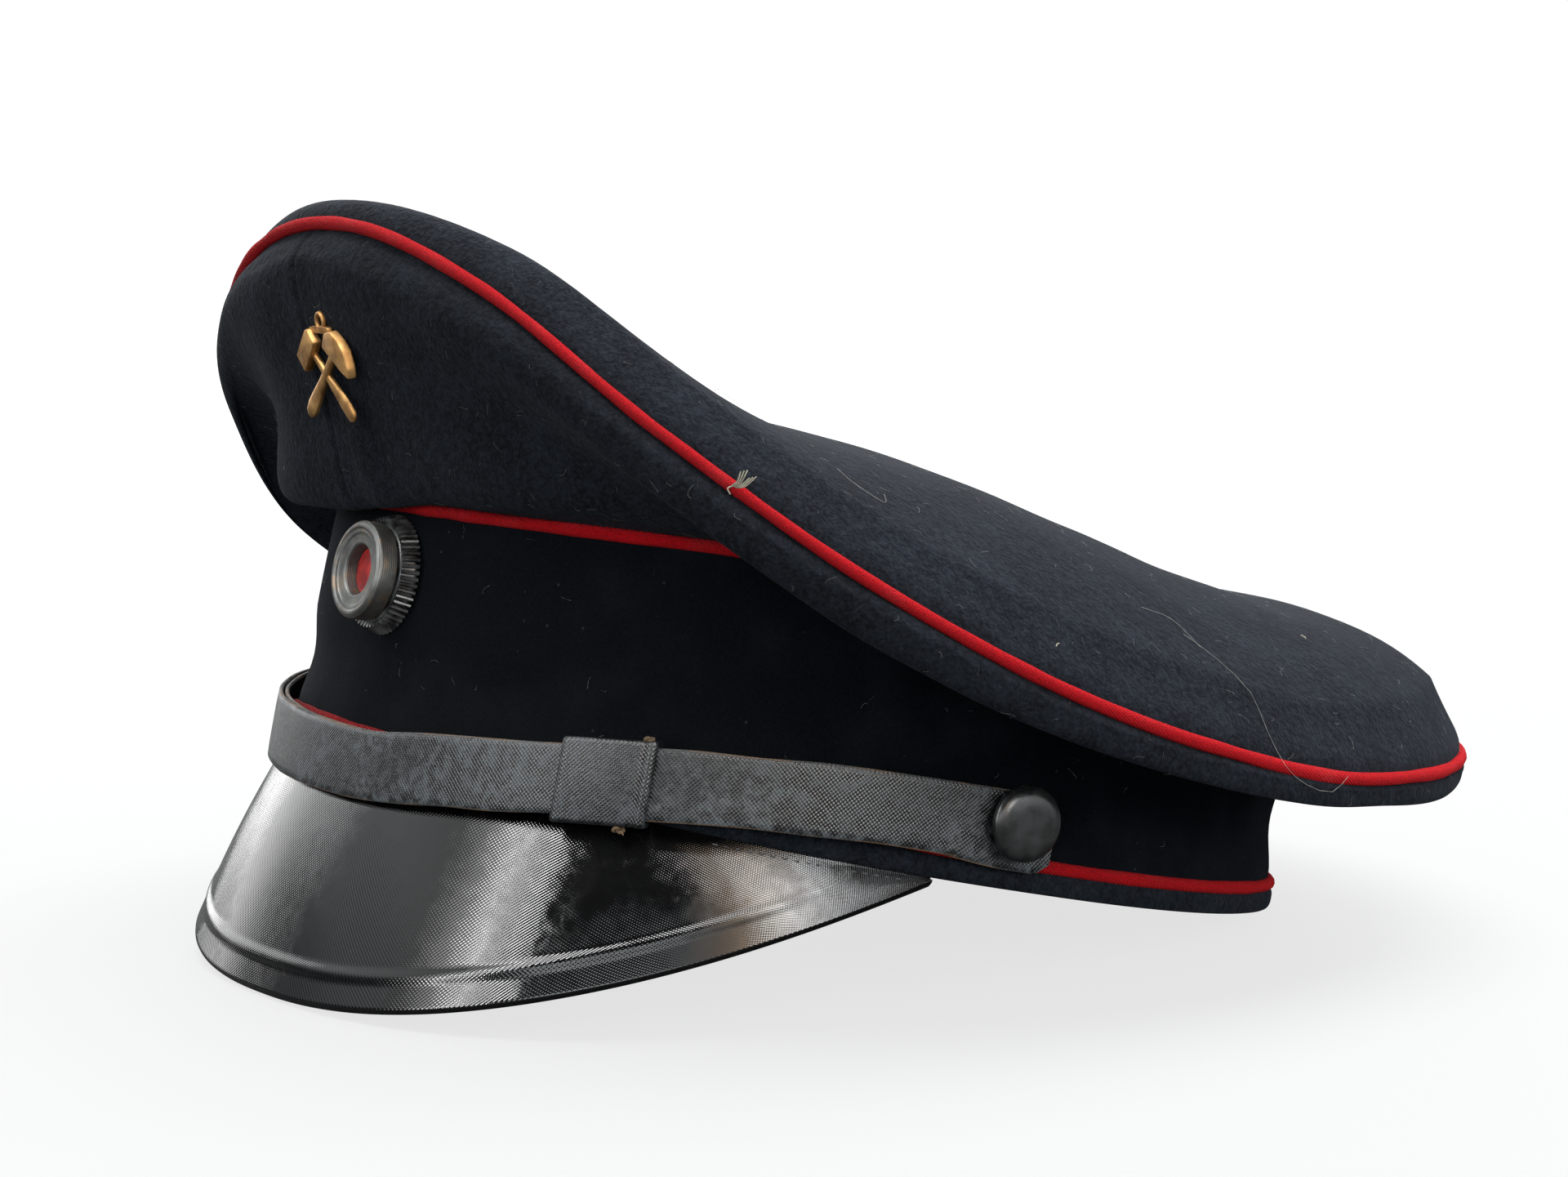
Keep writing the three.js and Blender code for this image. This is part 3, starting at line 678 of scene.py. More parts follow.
class Finishing(Graph):
    """The nodes of one material."""

    def __init__(self, name: str, **shader: Any) -> None:
        """Starts a material.

        Args:
            name: its name.
            shader: the shader's own socket values, by name with _ for a space.
        """
        self.material = bpy.data.materials.new(name)
        self.material.use_nodes = True
        super().__init__(self.material.node_tree)
        values = {key.replace("_", " "): value for key, value in shader.items()}
        self.shader = self.node("ShaderNodeBsdfPrincipled", None, values)
        self.node("ShaderNodeOutputMaterial", None, {"Surface": self.shader.outputs[0]})
        self.places = self.node("ShaderNodeTexCoord")

    def shade(self, kind: str, settings: Settings = None, inputs: Inputs = None,
              output: Union[int, str] = 0) -> Shade:
        """Adds a node and gives one of its outputs."""
        return Shade(self, self.node(kind, settings, inputs).outputs[output])

    def noise(self, size: float, detail: float, distortion: float = 0.0) -> Shade:
        """Noise whose swellings are about size metres long."""
        inputs = {"Vector": self.places.outputs["Object"], "Scale": 1.0 / size, "Detail": detail,
                  "Distortion": distortion}
        return self.shade("ShaderNodeTexNoise", None, inputs)

    def cells(self, size: float) -> Shade:
        """Distance from scattered points about size metres apart."""
        inputs = {"Vector": self.places.outputs["Object"], "Scale": 1.0 / size}
        return self.shade("ShaderNodeTexVoronoi", {"feature": "F1"}, inputs)

    def pattern(self) -> tuple[Shade, Shade]:
        """The piece's own pattern coordinates, along and around."""
        split = self.node("ShaderNodeSeparateXYZ", None, {0: self.places.outputs["UV"]})
        return Shade(self, split.outputs[0]), Shade(self, split.outputs[1])

    def blend(self, share: Any, low: Any, high: Any) -> Shade:
        """A colour between two, at a share of the way."""
        settings = {"data_type": "RGBA"}
        return self.shade("ShaderNodeMix", settings, {0: share, 6: low, 7: high}, 2)

    def ramp(self, share: Shade, *stops: tuple[float, Colour]) -> Shade:
        """A colour read from a ramp's (place, colour) stops."""
        return self.shade("ShaderNodeValToRGB", {"stops": stops}, {"Fac": share})

    def bump(self, height: Shade, depth: float) -> None:
        """Shades relief of this depth in metres."""
        inputs = {"Distance": depth, "Height": height}
        self.feed(self.shader.inputs["Normal"], self.shade("ShaderNodeBump", None, inputs))

    def finish(self, **sockets: Any) -> Material:
        """Feeds the shader's sockets, by name with _ for a space, and gives the material."""
        for key, value in sockets.items():
            self.feed(self.shader.inputs[key.replace("_", " ")], value)
        return self.material


@dataclass(frozen=True)
class Felt:
    """Milled wool felt: a matted nap with paler fibres lying in it."""

    name: str = "wool_felt"
    shade: Colour = (0.0034, 0.0046, 0.0072)
    pale: Colour = (0.0235, 0.0290, 0.0385)
    fibre: Colour = (0.06, 0.062, 0.064)
    nap: float = 0.0007
    tuft: float = 0.0017
    mottle: float = 0.011
    curl: float = 0.0052
    relief: float = 0.0004

    def material(self) -> Material:
        """The felt's material."""
        make = Finishing(self.name, Roughness=0.95, Sheen_Weight=0.04, Sheen_Roughness=0.4,
                         Sheen_Tint=(0.7, 0.78, 0.9, 1.0), Specular_IOR_Level=0.06)
        nap = make.noise(self.nap, 4.0)
        mottle = make.noise(self.mottle, 3.0)
        curls = (make.noise(self.curl, 1.0, distortion=1.6) - 0.5).size().rise(0.006, 0.0)
        sparse = make.noise(self.mottle * 0.6, 1.0).rise(0.56, 0.66)
        tufts = make.noise(self.tuft, 3.0)
        worn = nap.rise(0.36, 0.70) * 0.38 + tufts.rise(0.38, 0.68) * 0.26 + mottle.rise(0.35, 0.7) * 0.2
        base = make.blend(worn, self.shade, self.pale)
        colour = make.blend(curls * sparse * 0.5, base, self.fibre)
        make.bump(nap + curls * sparse * 0.3 + tufts * 1.4, self.relief)
        return make.finish(Base_Color=colour)


@dataclass(frozen=True)
class Velvet:
    """Band velvet: near black, with a short pile that is brushed here and there."""

    name: str = "band_velvet"
    shade: Colour = (0.0024, 0.0034, 0.0050)
    brushed: Colour = (0.0084, 0.0110, 0.0150)
    pile: float = 0.00045
    brushing: float = 0.016
    dust: Colour = (0.055, 0.055, 0.05)
    dust_spacing: float = 0.0042
    dust_patch: float = 0.02
    relief: float = 0.00016

    def material(self) -> Material:
        """The velvet's material."""
        make = Finishing(self.name, Roughness=0.98, Sheen_Weight=0.03, Sheen_Roughness=0.35,
                         Sheen_Tint=(0.6, 0.68, 0.85, 1.0), Specular_IOR_Level=0.05)
        pile = make.noise(self.pile, 3.0)
        brushing = make.noise(self.brushing, 4.0)
        dusty = make.noise(self.dust_patch, 1.0).rise(0.5, 0.62)
        dust = make.cells(self.dust_spacing).rise(0.09, 0.03) * dusty
        pale = brushing.rise(0.42, 0.7) * 0.5 + pile.rise(0.4, 0.7) * 0.35
        colour = make.blend(dust * 0.55, make.blend(pale, self.shade, self.brushed), self.dust)
        make.bump(pile + brushing * 0.5, self.relief)
        return make.finish(Base_Color=colour)


@dataclass(frozen=True)
class PipingWool:
    """Red wool cloth round a cord: a fine twill that shows along the cord, with painted shade in its hollows.
    """

    name: str = "piping_wool"
    shade: Colour = (0.66, 0.004, 0.011)
    # deep is the dark red of the painted shade in the twill's hollows.
    deep: Colour = (0.12, 0.001, 0.003)
    faded: Colour = (0.70, 0.04, 0.045)
    rib: float = 1.1
    slant: float = 2.0
    cross_slant: float = 4.4
    fuzz: float = 0.0005
    fading: float = 0.013
    relief: float = 0.0003

    def material(self) -> Material:
        """The piping's material."""
        make = Finishing(self.name, Roughness=0.9, Sheen_Weight=0.06, Sheen_Roughness=0.4,
                         Sheen_Tint=(1.0, 0.35, 0.3, 1.0), Specular_IOR_Level=0.08)
        along, around = make.pattern()
        turn = 2 * math.pi / self.rib
        twill = ((along + around * self.slant) * turn).sine() * 0.5 + 0.5
        cross = ((along - around * self.cross_slant) * turn).sine() * 0.5 + 0.5
        fuzz = make.noise(self.fuzz, 3.0)
        wear = make.noise(self.fading, 3.0)
        # Painted shade: the hollows between the twill's ribs are darkened towards deep.
        painted_pit_shade = (1 - twill) * (1.2 - cross) * fuzz.rise(0.25, 0.7)
        base = make.blend(wear.rise(0.52, 0.78) * 0.5, self.shade, self.faded)
        make.bump(twill * 0.6 + cross * 0.4 + fuzz * 0.8, self.relief)
        return make.finish(Base_Color=make.blend(painted_pit_shade * 0.85, base, self.deep))


@dataclass(frozen=True)
class PeakLacquer:
    """Black lacquer over linen-grained fibre, scuffed a little, with a plain dark underside."""

    name: str = "peak_lacquer"
    shade: Colour = (0.0014, 0.0014, 0.0016)
    scuff: Colour = (0.014, 0.014, 0.0145)
    under: Colour = (0.013, 0.012, 0.011)
    thread: float = 0.8
    slub: float = 0.0028
    peel: float = 0.0065
    scratch: float = 0.004
    grime: float = 0.0016
    relief: float = 0.0000075

    def material(self) -> Material:
        """The peak's material. Its pattern runs along the rim and down the peak, the underside below 0."""
        make = Finishing(self.name, IOR=1.52)
        along, down = make.pattern()
        turn = 2 * math.pi / self.thread
        weave = ((along + down) * turn).sine() + ((along - down) * turn).sine()
        slub = make.noise(self.slub, 3.0)
        peel = make.noise(self.peel, 2.0)
        scratches = make.noise(self.scratch, 5.0, distortion=0.6).rise(0.60, 0.72)
        beneath = down.rise(0.05, -0.05)
        grime = make.noise(self.grime, 3.0).rise(0.55, 0.8)
        colour = make.blend(scratches * 0.25 + grime * 0.12, self.shade, self.scuff)
        make.bump(weave * (0.45 + slub * 0.9) + peel * 3.0, self.relief)
        rough = 0.05 + slub * 0.09 + scratches * 0.08 + beneath * 0.45
        return make.finish(Base_Color=make.blend(beneath, colour, self.under), Roughness=rough)


@dataclass(frozen=True)
class StrapLeather:
    """Lacquered strap with a linen grain, worn grey on its face and raw brown at its cut edges.

    A width far past the real one leaves the edges plain.
    """

    name: str = "strap_leather"
    shade: Colour = (0.0035, 0.004, 0.0046)
    worn: Colour = (0.098, 0.116, 0.124)
    raw: Colour = (0.14, 0.08, 0.042)
    edge: Colour = (0.03, 0.031, 0.030)
    thread: float = 0.8
    width: float = 13.0
    patchiness: float = 1.0
    patch: float = 0.015
    grain: float = 0.0008
    smear: float = 0.0021
    raw_patch: float = 0.012
    relief: float = 0.000045

    def material(self) -> Material:
        """The material. Its pattern runs along the strap and across it, past the width on its edges."""
        make = Finishing(self.name, IOR=1.5)
        along, across = make.pattern()
        turn = 2 * math.pi / self.thread
        weave = (along * turn).sine() * (across * turn).sine()
        patches = make.noise(self.patch, 4.0).rise(0.44, 0.60) * self.patchiness
        grain = make.noise(self.grain, 3.0)
        fine = make.noise(self.smear, 5.0, distortion=0.4)
        tops = weave.rise(-0.1, 0.9) * grain.rise(0.3, 0.7)
        centre = (across - self.width / 2).size()
        edge = centre.rise(self.width / 2 - 0.35, self.width / 2 - 0.02)
        rubbed = centre.rise(self.width / 2 - 1.6, self.width / 2 - 0.3) * fine.rise(0.45, 0.62)
        specks = tops * grain.rise(0.45, 0.62)
        smears = fine.rise(0.40, 0.64)
        wear = (patches * smears * (0.35 + tops) + smears * 0.18 + rubbed * 0.3 + specks * 0.4).at_most(1.0)
        colour = make.blend(wear, self.shade, self.worn)
        cut = make.blend(make.noise(self.raw_patch, 3.0).rise(0.42, 0.58), self.edge, self.raw)
        make.bump(weave * 0.8 + grain * 1.1 + fine * 1.2, self.relief)
        rough = 0.24 + wear * 0.26 + fine * 0.2 + edge * 0.3
        return make.finish(Base_Color=make.blend(edge, colour, cut), Roughness=rough)


@dataclass(frozen=True)
class Enamel:
    """Black enamel on pressed metal, dulled by handling. The skirt's copy has a pale grey dulled colour whose
    patches are painted glints.
    """

    name: str = "black_enamel"
    shade: Colour = (0.012, 0.012, 0.012)
    dulled: Colour = (0.045, 0.046, 0.046)
    haze: float = 0.0032
    chip: float = 0.0011
    relief: float = 0.00003

    def material(self) -> Material:
        """The enamel's material."""
        make = Finishing(self.name, IOR=1.5)
        haze = make.noise(self.haze, 4.0)
        chips = make.noise(self.chip, 4.0).rise(0.66, 0.72)
        make.bump(haze + chips * 0.5, self.relief)
        colour = make.blend(haze.rise(0.35, 0.7) * 0.5 + chips * 0.3, self.shade, self.dulled)
        return make.finish(Base_Color=colour, Roughness=0.18 + haze * 0.22)


@dataclass(frozen=True)
class AgedSteel:
    """Turned grey steel with fine rings and a warm patina in patches."""

    name: str = "aged_steel"
    shade: Colour = (0.075, 0.078, 0.076)
    middle: Colour = (0.115, 0.118, 0.113)
    bright: Colour = (0.21, 0.215, 0.205)
    patina: Colour = (0.21, 0.145, 0.09)
    ring: float = 0.42
    blotch: float = 0.0038
    grain: float = 0.0006
    patch: float = 0.0022
    relief: float = 0.00004

    def material(self) -> Material:
        """The steel's material. Its pattern runs along the turned profile."""
        make = Finishing(self.name, Metallic=0.85)
        along, _ = make.pattern()
        rings = (along * (2 * math.pi / self.ring)).sine() * 0.5 + 0.5
        blotch = make.noise(self.blotch, 4.0)
        grain = make.noise(self.grain, 3.0)
        worn = make.noise(self.patch, 3.0).rise(0.52, 0.68)
        tone = blotch * 0.8 + rings * 0.2
        base = make.ramp(tone, (0.3, self.shade), (0.52, self.middle), (0.72, self.bright))
        make.bump(rings * 0.5 + grain, self.relief)
        return make.finish(Base_Color=make.blend(worn * 0.6, base, self.patina),
                           Roughness=0.36 + grain * 0.18 + blotch * 0.1)


@dataclass(frozen=True)
class RedEnamel:
    """Red enamel in the cockade's centre."""

    name: str = "red_enamel"
    shade: Colour = (0.72, 0.024, 0.020)
    shaded: Colour = (0.30, 0.008, 0.010)
    cloud: float = 0.0024
    relief: float = 0.00004

    def material(self) -> Material:
        """The enamel's material."""
        make = Finishing(self.name, IOR=1.5)
        cloud = make.noise(self.cloud, 3.0)
        make.bump(cloud, self.relief)
        return make.finish(Base_Color=make.blend(cloud.rise(0.3, 0.7), self.shaded, self.shade),
                           Roughness=0.35 + cloud * 0.15)


@dataclass(frozen=True)
class AgedBrass:
    """Old brass: matt, brown in some clouds and rubbed bright in others, with brown spots."""

    name: str = "aged_brass"
    shade: Colour = (0.26, 0.135, 0.045)
    middle: Colour = (0.43, 0.24, 0.088)
    bright: Colour = (0.62, 0.37, 0.145)
    cloud: float = 0.0032
    grain: float = 0.0005
    spot: float = 0.0014
    relief: float = 0.00005

    def material(self) -> Material:
        """The brass's material."""
        make = Finishing(self.name, Metallic=0.9)
        cloud = make.noise(self.cloud, 4.0)
        grain = make.noise(self.grain, 3.0)
        spots = make.noise(self.spot, 3.0).rise(0.62, 0.72)
        base = make.ramp(cloud, (0.34, self.shade), (0.5, self.middle), (0.68, self.bright))
        make.bump(grain + cloud * 0.6, self.relief)
        return make.finish(Base_Color=make.blend(spots * 0.5, base, self.shade),
                           Roughness=0.40 + grain * 0.2)


@dataclass(frozen=True)
class Thread:
    """A plain spun thread or stray fibre."""

    name: str
    shade: Colour
    dark: Colour
    twist: float = 0.0009
    relief: float = 0.00005

    def material(self) -> Material:
        """The thread's material."""
        make = Finishing(self.name, Roughness=0.8, Specular_IOR_Level=0.3)
        spun = make.noise(self.twist, 3.0)
        make.bump(spun, self.relief)
        return make.finish(Base_Color=make.blend(spun.rise(0.3, 0.7), self.dark, self.shade))


class Finishes:
    """Every material of the cap, made once."""

    def __init__(self) -> None:
        """Makes the materials."""
        self.felt = Felt().material()
        self.velvet = Velvet().material()
        self.piping = PipingWool().material()
        self.lacquer = PeakLacquer().material()
        self.leather = StrapLeather().material()
        self.keeper = StrapLeather(name="keeper_leather", worn=(0.080, 0.097, 0.106), width=1000.0,
                                   patchiness=0.7).material()
        self.enamel = Enamel().material()
        # The ribbed skirt's enamel: its pale grey patches are painted glints, scattered at random, for the
        # silvery shine of the ribs.
        self.ribbed = Enamel("ribbed_enamel", (0.014, 0.014, 0.015), (0.2, 0.2, 0.19)).material()
        self.steel = AgedSteel().material()
        self.red = RedEnamel().material()
        self.brass = AgedBrass().material()
        self.tan = Thread("tan_thread", (0.26, 0.16, 0.08), (0.12, 0.07, 0.035)).material()
        self.grey = Thread("grey_thread", (0.16, 0.16, 0.16), (0.05, 0.05, 0.05)).material()
        self.lint = Thread("pale_lint", (0.42, 0.42, 0.38), (0.20, 0.20, 0.18)).material()
        self.straw = Thread("straw", (0.42, 0.39, 0.29), (0.24, 0.22, 0.16)).material()


# Geometry Nodes


class NodeTree(Graph):
    """A Geometry Nodes tree with named inputs."""

    def __init__(self, name: str, sizes: dict[str, float], material: Material) -> None:
        """Starts a tree.

        Args:
            name: the tree's name.
            sizes: its named inputs and their values.
            material: what its result is made of.
        """
        super().__init__(bpy.data.node_groups.new(name, "GeometryNodeTree"))
        self.sizes = sizes
        self.material = material
        face = self.tree.interface
        face.new_socket("Geometry", in_out="INPUT", socket_type="NodeSocketGeometry")
        face.new_socket("Geometry", in_out="OUTPUT", socket_type="NodeSocketGeometry")
        self.sockets = {}
        for key in sizes:
            socket = face.new_socket(key, in_out="INPUT", socket_type="NodeSocketFloat")
            self.sockets[key] = socket.identifier
        self.source = self.node("NodeGroupInput")

    def given(self, name: str) -> NodeSocket:
        """A named input."""
        return self.source.outputs[name]

    def made(self, kind: str, settings: Settings = None, inputs: Inputs = None,
             output: Union[int, str] = 0) -> NodeSocket:
        """Adds a node and gives one of its outputs."""
        return self.node(kind, settings, inputs).outputs[output]

    def bake(self, thing: Object, result: NodeSocket, name: str) -> Object:
        """Ends the tree, runs it on an object and keeps the result as a plain mesh.

        Args:
            thing: the object that the tree reads. It is removed.
            result: the geometry to keep.
            name: the new object's name.

        Returns:
            The new object.
        """
        real = self.made("GeometryNodeRealizeInstances", None, {0: result})
        dressed = self.made("GeometryNodeSetMaterial", None, {"Geometry": real, "Material": self.material})
        self.node("NodeGroupOutput", None, {0: dressed})
        modifier = thing.modifiers.new("Nodes", "NODES")
        modifier.node_group = self.tree
        for key, value in self.sizes.items():
            modifier[self.sockets[key]] = value
        view = bpy.context.evaluated_depsgraph_get()
        mesh = bpy.data.meshes.new_from_object(thing.evaluated_get(view), depsgraph=view)
        thing.modifiers.remove(modifier)
        bpy.data.objects.remove(thing)
        mesh.name = name
        return linked(name, mesh)


# Crown


@dataclass
class Assembly:
    """A sub-assembly: the cap's sizes, who makes its meshes, and what they are finished in."""

    shape: CapShape
    make: Maker
    finishes: Finishes


@dataclass(frozen=True)
class QuarterRow:
    """One section of the crown's sides, in millimetres.

    piping is the height of the crown seam. The cloth rolls out past it by roll_out, hangs roll_drop below it
    and tucks back by roll_tuck. It runs to the band over a hollow, and bulges over the band's top edge by
    prow, at a rise.
    """

    piping: float
    roll_out: float
    roll_drop: float
    roll_tuck: float
    hollow: float
    prow: float
    rise: float


@dataclass(frozen=True)
class Fold:
    """A soft swelling of the cloth, or a dent where height is below 0, at an angle and a share of its run."""

    angle: float
    share: float
    half_angle: float
    half_share: float
    height: float
    lean: float = 0.0

    def offset(self, angle: Array, share: Array) -> Array:
        """How far the fold moves the cloth outwards at these places."""
        beside = turned_from(angle, self.angle) - self.lean * (share - self.share)
        across = (turned_from(beside, 0.0) / self.half_angle) ** 2
        return self.height * np.exp(-across - ((share - self.share) / self.half_share) ** 2)


@dataclass(frozen=True)
class Dent:
    """A soft swelling of the crown's top, or a dent where height is below 0."""

    x: float
    y: float
    half_x: float
    half_y: float
    height: float

    def offset(self, points: Array) -> Array:
        """How far the dent moves the cloth outwards at these points."""
        across = ((points[..., 0] - self.x) / self.half_x) ** 2
        along = ((points[..., 1] - self.y) / self.half_y) ** 2
        return self.height * np.exp(-across - along)


QUARTER_ROWS = (
    QuarterRow(96.0, 2.2, 11.0, 0.4, 0.0, 7.5, 2.2),
    QuarterRow(87.3, 2.4, 12.0, 1.6, 2.5, 10.0, 2.2),
    QuarterRow(67.1, 2.0, 11.0, 3.0, 2.5, 9.5, 2.5),
    QuarterRow(48.1, 1.8, 9.8, 4.0, 1.0, 7.0, 1.0),
    QuarterRow(34.7, 1.6, 7.4, 3.4, 0.0, 3.0, -0.2),
    QuarterRow(29.1, 1.2, 5.2, 2.6, 0.0, 2.0, -0.6),
    QuarterRow(32.2, 1.0, 4.8, 2.4, 0.0, 2.0, -0.6),
    QuarterRow(37.1, 1.0, 4.8, 2.4, 0.0, 2.0, -0.4),
    QuarterRow(40.5, 1.0, 4.8, 2.4, 0.0, 2.0, -0.2),
    QuarterRow(42.0, 1.0, 4.8, 2.4, 0.0, 2.0, 0.0),
)

QUARTER_FOLDS = (
    Fold(angle=-26, share=0.2, half_angle=11, half_share=0.14, height=1.8),
    Fold(angle=-40, share=0.5, half_angle=15, half_share=0.2, height=-4.5),
    Fold(angle=-12, share=0.5, half_angle=6, half_share=0.22, height=1.2),
    Fold(angle=34, share=0.55, half_angle=20, half_share=0.16, height=-1.6),
    Fold(angle=-82, share=0.62, half_angle=36, half_share=0.22, height=-2.3),
    Fold(angle=4, share=0.27, half_angle=1.5, half_share=0.16, height=-0.7, lean=-14),
    Fold(angle=8, share=0.24, half_angle=1.3, half_share=0.1, height=-0.6, lean=-18),
    Fold(angle=1, share=0.26, half_angle=1.2, half_share=0.12, height=0.5, lean=-10),
)

RIDGE_PLACES = (-125, -110, -90, -70, -48, -20, 5, 30, 55, 80, 100, 121)
RIDGE_HEIGHTS = (103.5, 95.5, 82.8, 76.8, 75.4, 72.8, 68.0, 63.6, 61.8, 61.0, 57.2, 46.5)

TOP_DENTS = (
    Dent(x=46, y=-66, half_x=26, half_y=20, height=-1.6),
    Dent(x=-42, y=-52, half_x=30, half_y=24, height=-1.8),
    Dent(x=30, y=52, half_x=40, half_y=18, height=-1.4),
    Dent(x=-30, y=64, half_x=34, half_y=22, height=-1.2),
    Dent(x=70, y=8, half_x=22, half_y=40, height=0.9),
    Dent(x=0, y=109, half_x=75, half_y=13, height=-2.6),
)


@dataclass
class Crown(Assembly):
    """The felt crown: its sides, its top, and the piping in the seam between them."""

    spacing: float = 20.0
    cloth: float = 1.5
    seam_press: float = 0.4
    press_start: float = 0.7
    foot_press: float = 0.15
    roll_shoulder: float = 0.45
    edge_inset: float = 0.4
    shoulder_height: float = 5.5
    shoulder_width: float = 0.06
    front_power: float = 3.0
    rear_power: float = 3.7
    power_blend: float = 60.0
    seams: tuple[float, ...] = (-2.6, 180.0)
    seam_depth: float = 0.4
    seam_width: float = 0.5
    lip_height: float = 0.12
    lip_place: float = 1.6
    unevenness: float = 0.22
    droop: float = -5.2
    droop_angle: float = -13.0
    droop_half_angle: float = 16.0

    def column(self, name: str, angle: Numbers) -> Array:
        """A column of the quarters' table at these angles."""
        return table_value([getattr(row, name) for row in QUARTER_ROWS], self.spacing, angle)

    def quarter_points(self, angle: Array, share: Array, depth: float = 0.0) -> Array:
        """Points of the crown's sides.

        Args:
            angle: angles round the head.
            share: places between the band, 0, and the crown seam, 1.
            depth: how far under the cloth's face.

        Returns:
            The points, shaped (angles, shares, 3).
        """
        inner = self.shape.band_head.point(angle)
        outward = self.shape.crown_edge.point(angle) - inner
        width = np.linalg.norm(outward, axis=-1)
        outward /= width[:, None]
        foot = self.shape.upper_piping_height(angle) + self.shape.piping_seat
        piping = self.column("piping", angle)
        low = piping - self.column("roll_drop", angle)
        shoulder = width + self.column("roll_out", angle)
        sag = self.droop * np.exp(-(turned_from(angle, self.droop_angle) / self.droop_half_angle) ** 4)
        prow = np.stack([self.column("prow", angle), foot + self.column("rise", angle) + sag], -1)
        roll = np.stack([shoulder - self.column("roll_tuck", angle), low], -1)
        run = unit(roll - prow)
        inward = np.stack([-run[:, 1], run[:, 0]], -1)
        middle = (prow + roll) / 2 + inward * self.column("hollow", angle)[:, None]
        stations = np.stack([
            np.stack([np.zeros_like(foot), foot], -1),
            prow,
            middle,
            roll,
            np.stack([shoulder, mix(piping, low, self.roll_shoulder)], -1),
            np.stack([width - self.edge_inset, piping - self.shape.piping_seat], -1),
        ], 1)
        step = 0.002
        flat = spline(stations, share)
        along = unit(spline(stations, share + step) - spline(stations, share - step))
        inwards = np.stack([-along[..., 1], along[..., 0]], -1)
        near_head = smooth_step(share, self.press_start, 1)
        near_foot = 1 - smooth_step(share, 0, self.foot_press)
        pressed = depth * mix(1.0, self.seam_press, np.maximum(near_head, near_foot))
        flat = flat + inwards * (pressed - self.relief(angle, share))[..., None]
        across = inner[:, None] + outward[:, None] * flat[..., :1]
        return np.concatenate([across, flat[..., 1:]], -1)

    def relief(self, angle: Array, share: Array) -> Array:
        """How far folds, seams and unevenness move the sides outwards, shaped (angles, shares)."""
        angle = angle[:, None]
        share = share[None, :]
        free = np.minimum(smooth_step(share, 0.02, 0.12), 1 - smooth_step(share, 0.9, 0.985))
        total = sum(fold.offset(angle, share) for fold in QUARTER_FOLDS)
        for seam in self.seams:
            away = np.radians(turned_from(angle, seam)) * self.shape.crown_edge.front
            total = total - self.seam_depth * np.exp(-(away / self.seam_width) ** 2)
            lips = np.exp(-((np.abs(away) - self.lip_place) / self.lip_place) ** 2)
            total = total + self.lip_height * lips
        places = np.stack(np.broadcast_arrays(np.radians(angle) * 100, share * 60, 0 * angle), -1)
        uneven = soft_noise(places, 26.0, 3) + 0.5 * soft_noise(places, 9.0, 4)
        return (total + self.unevenness * uneven) * free

    def quarters(self) -> Object:
        """The crown's sides."""
        angles = angles_round(1.0, self.seams)
        face = np.concatenate([np.linspace(0, 0.2, 14), np.linspace(0.2, 1, 46)[1:]])
        back = np.linspace(1, 0, 22)
        rings = np.concatenate([
            self.quarter_points(angles, face), self.quarter_points(angles, back, self.cloth),
        ], 1)
        thing = self.make.mesh_object("crown_side_felt", Shell.loft(rings))
        return self.make.piece(thing, Slot.FELT, self.finishes.felt, ["crown_quarters"])

    def top_height(self, points: Array, share: Array, angle: Array) -> Array:
        """Height of the crown's top over its flat points."""
        x, y = points[..., 0], points[..., 1]
        edge_oval = self.shape.crown_edge
        reach = np.where(y < 0, edge_oval.front, edge_oval.rear)
        fullness = np.where(y < 0, edge_oval.front_fullness, edge_oval.rear_fullness)
        inside_share = 1 - np.clip(np.abs(y) / reach, 0, 1) ** fullness
        half_width = edge_oval.side * inside_share ** (1 / fullness)
        across = np.clip(np.abs(x) / np.maximum(half_width, 1e-6), 0, 1)
        inside = np.clip((1 - share) / self.shoulder_width, 0, 1)
        shoulder = self.shoulder_height * np.sqrt(1 - (1 - inside) ** 2)
        edge = self.column("piping", angle) + self.shape.piping_seat
        power = mix(self.front_power, self.rear_power, smooth_step(y, -self.power_blend, self.power_blend))
        ridge = smooth_table(RIDGE_PLACES, RIDGE_HEIGHTS, y)
        dome = (ridge - edge - self.shoulder_height) * (1 - across ** power)
        return edge + shoulder + dome * inside

    def top_points(self, angle: Array, share: Array) -> Array:
        """Points of the crown's top, shaped (shares, angles, 3)."""
        rim = self.shape.crown_edge.beside(angle, -self.edge_inset, 0.0)[None]
        points = rim * share[:, None, None]
        height = self.top_height(points, share[:, None], angle[None])
        free = smooth_step(1 - share, 0.01, 0.16)[:, None]
        dents = sum(dent.offset(points) for dent in TOP_DENTS)
        uneven = self.unevenness * (soft_noise(points, 40.0, 7) + 0.4 * soft_noise(points, 14.0, 8))
        points[..., 2] = height + (dents + uneven) * free
        return points

    def top(self) -> Object:
        """The crown's top panel."""
        angles = angles_round(1.5)
        share = np.concatenate([
            1 - self.shoulder_width * (1 - np.cos(np.linspace(0, math.pi / 2, 15))),
            np.linspace(0.93, 0.6, 20), np.linspace(0.56, 0.04, 16),
        ])
        face = self.top_points(angles, share)
        round_way = np.roll(face, -1, 1) - np.roll(face, 1, 1)
        in_way = np.gradient(face, axis=0)
        out = unit(np.cross(round_way, in_way))
        out *= np.sign(out[-1, :, 2].mean())
        flat = self.shape.crown_edge.normal(angles)
        out[0] = np.concatenate([flat, np.zeros((len(angles), 1))], -1)
        back = (face - out * self.cloth)[::4]
        rings = np.concatenate([face[::-1], back])
        thing = self.make.mesh_object("crown_top_felt", Shell.loft(rings, looped=False))
        return self.make.piece(thing, Slot.FELT, self.finishes.felt, ["crown_top"])

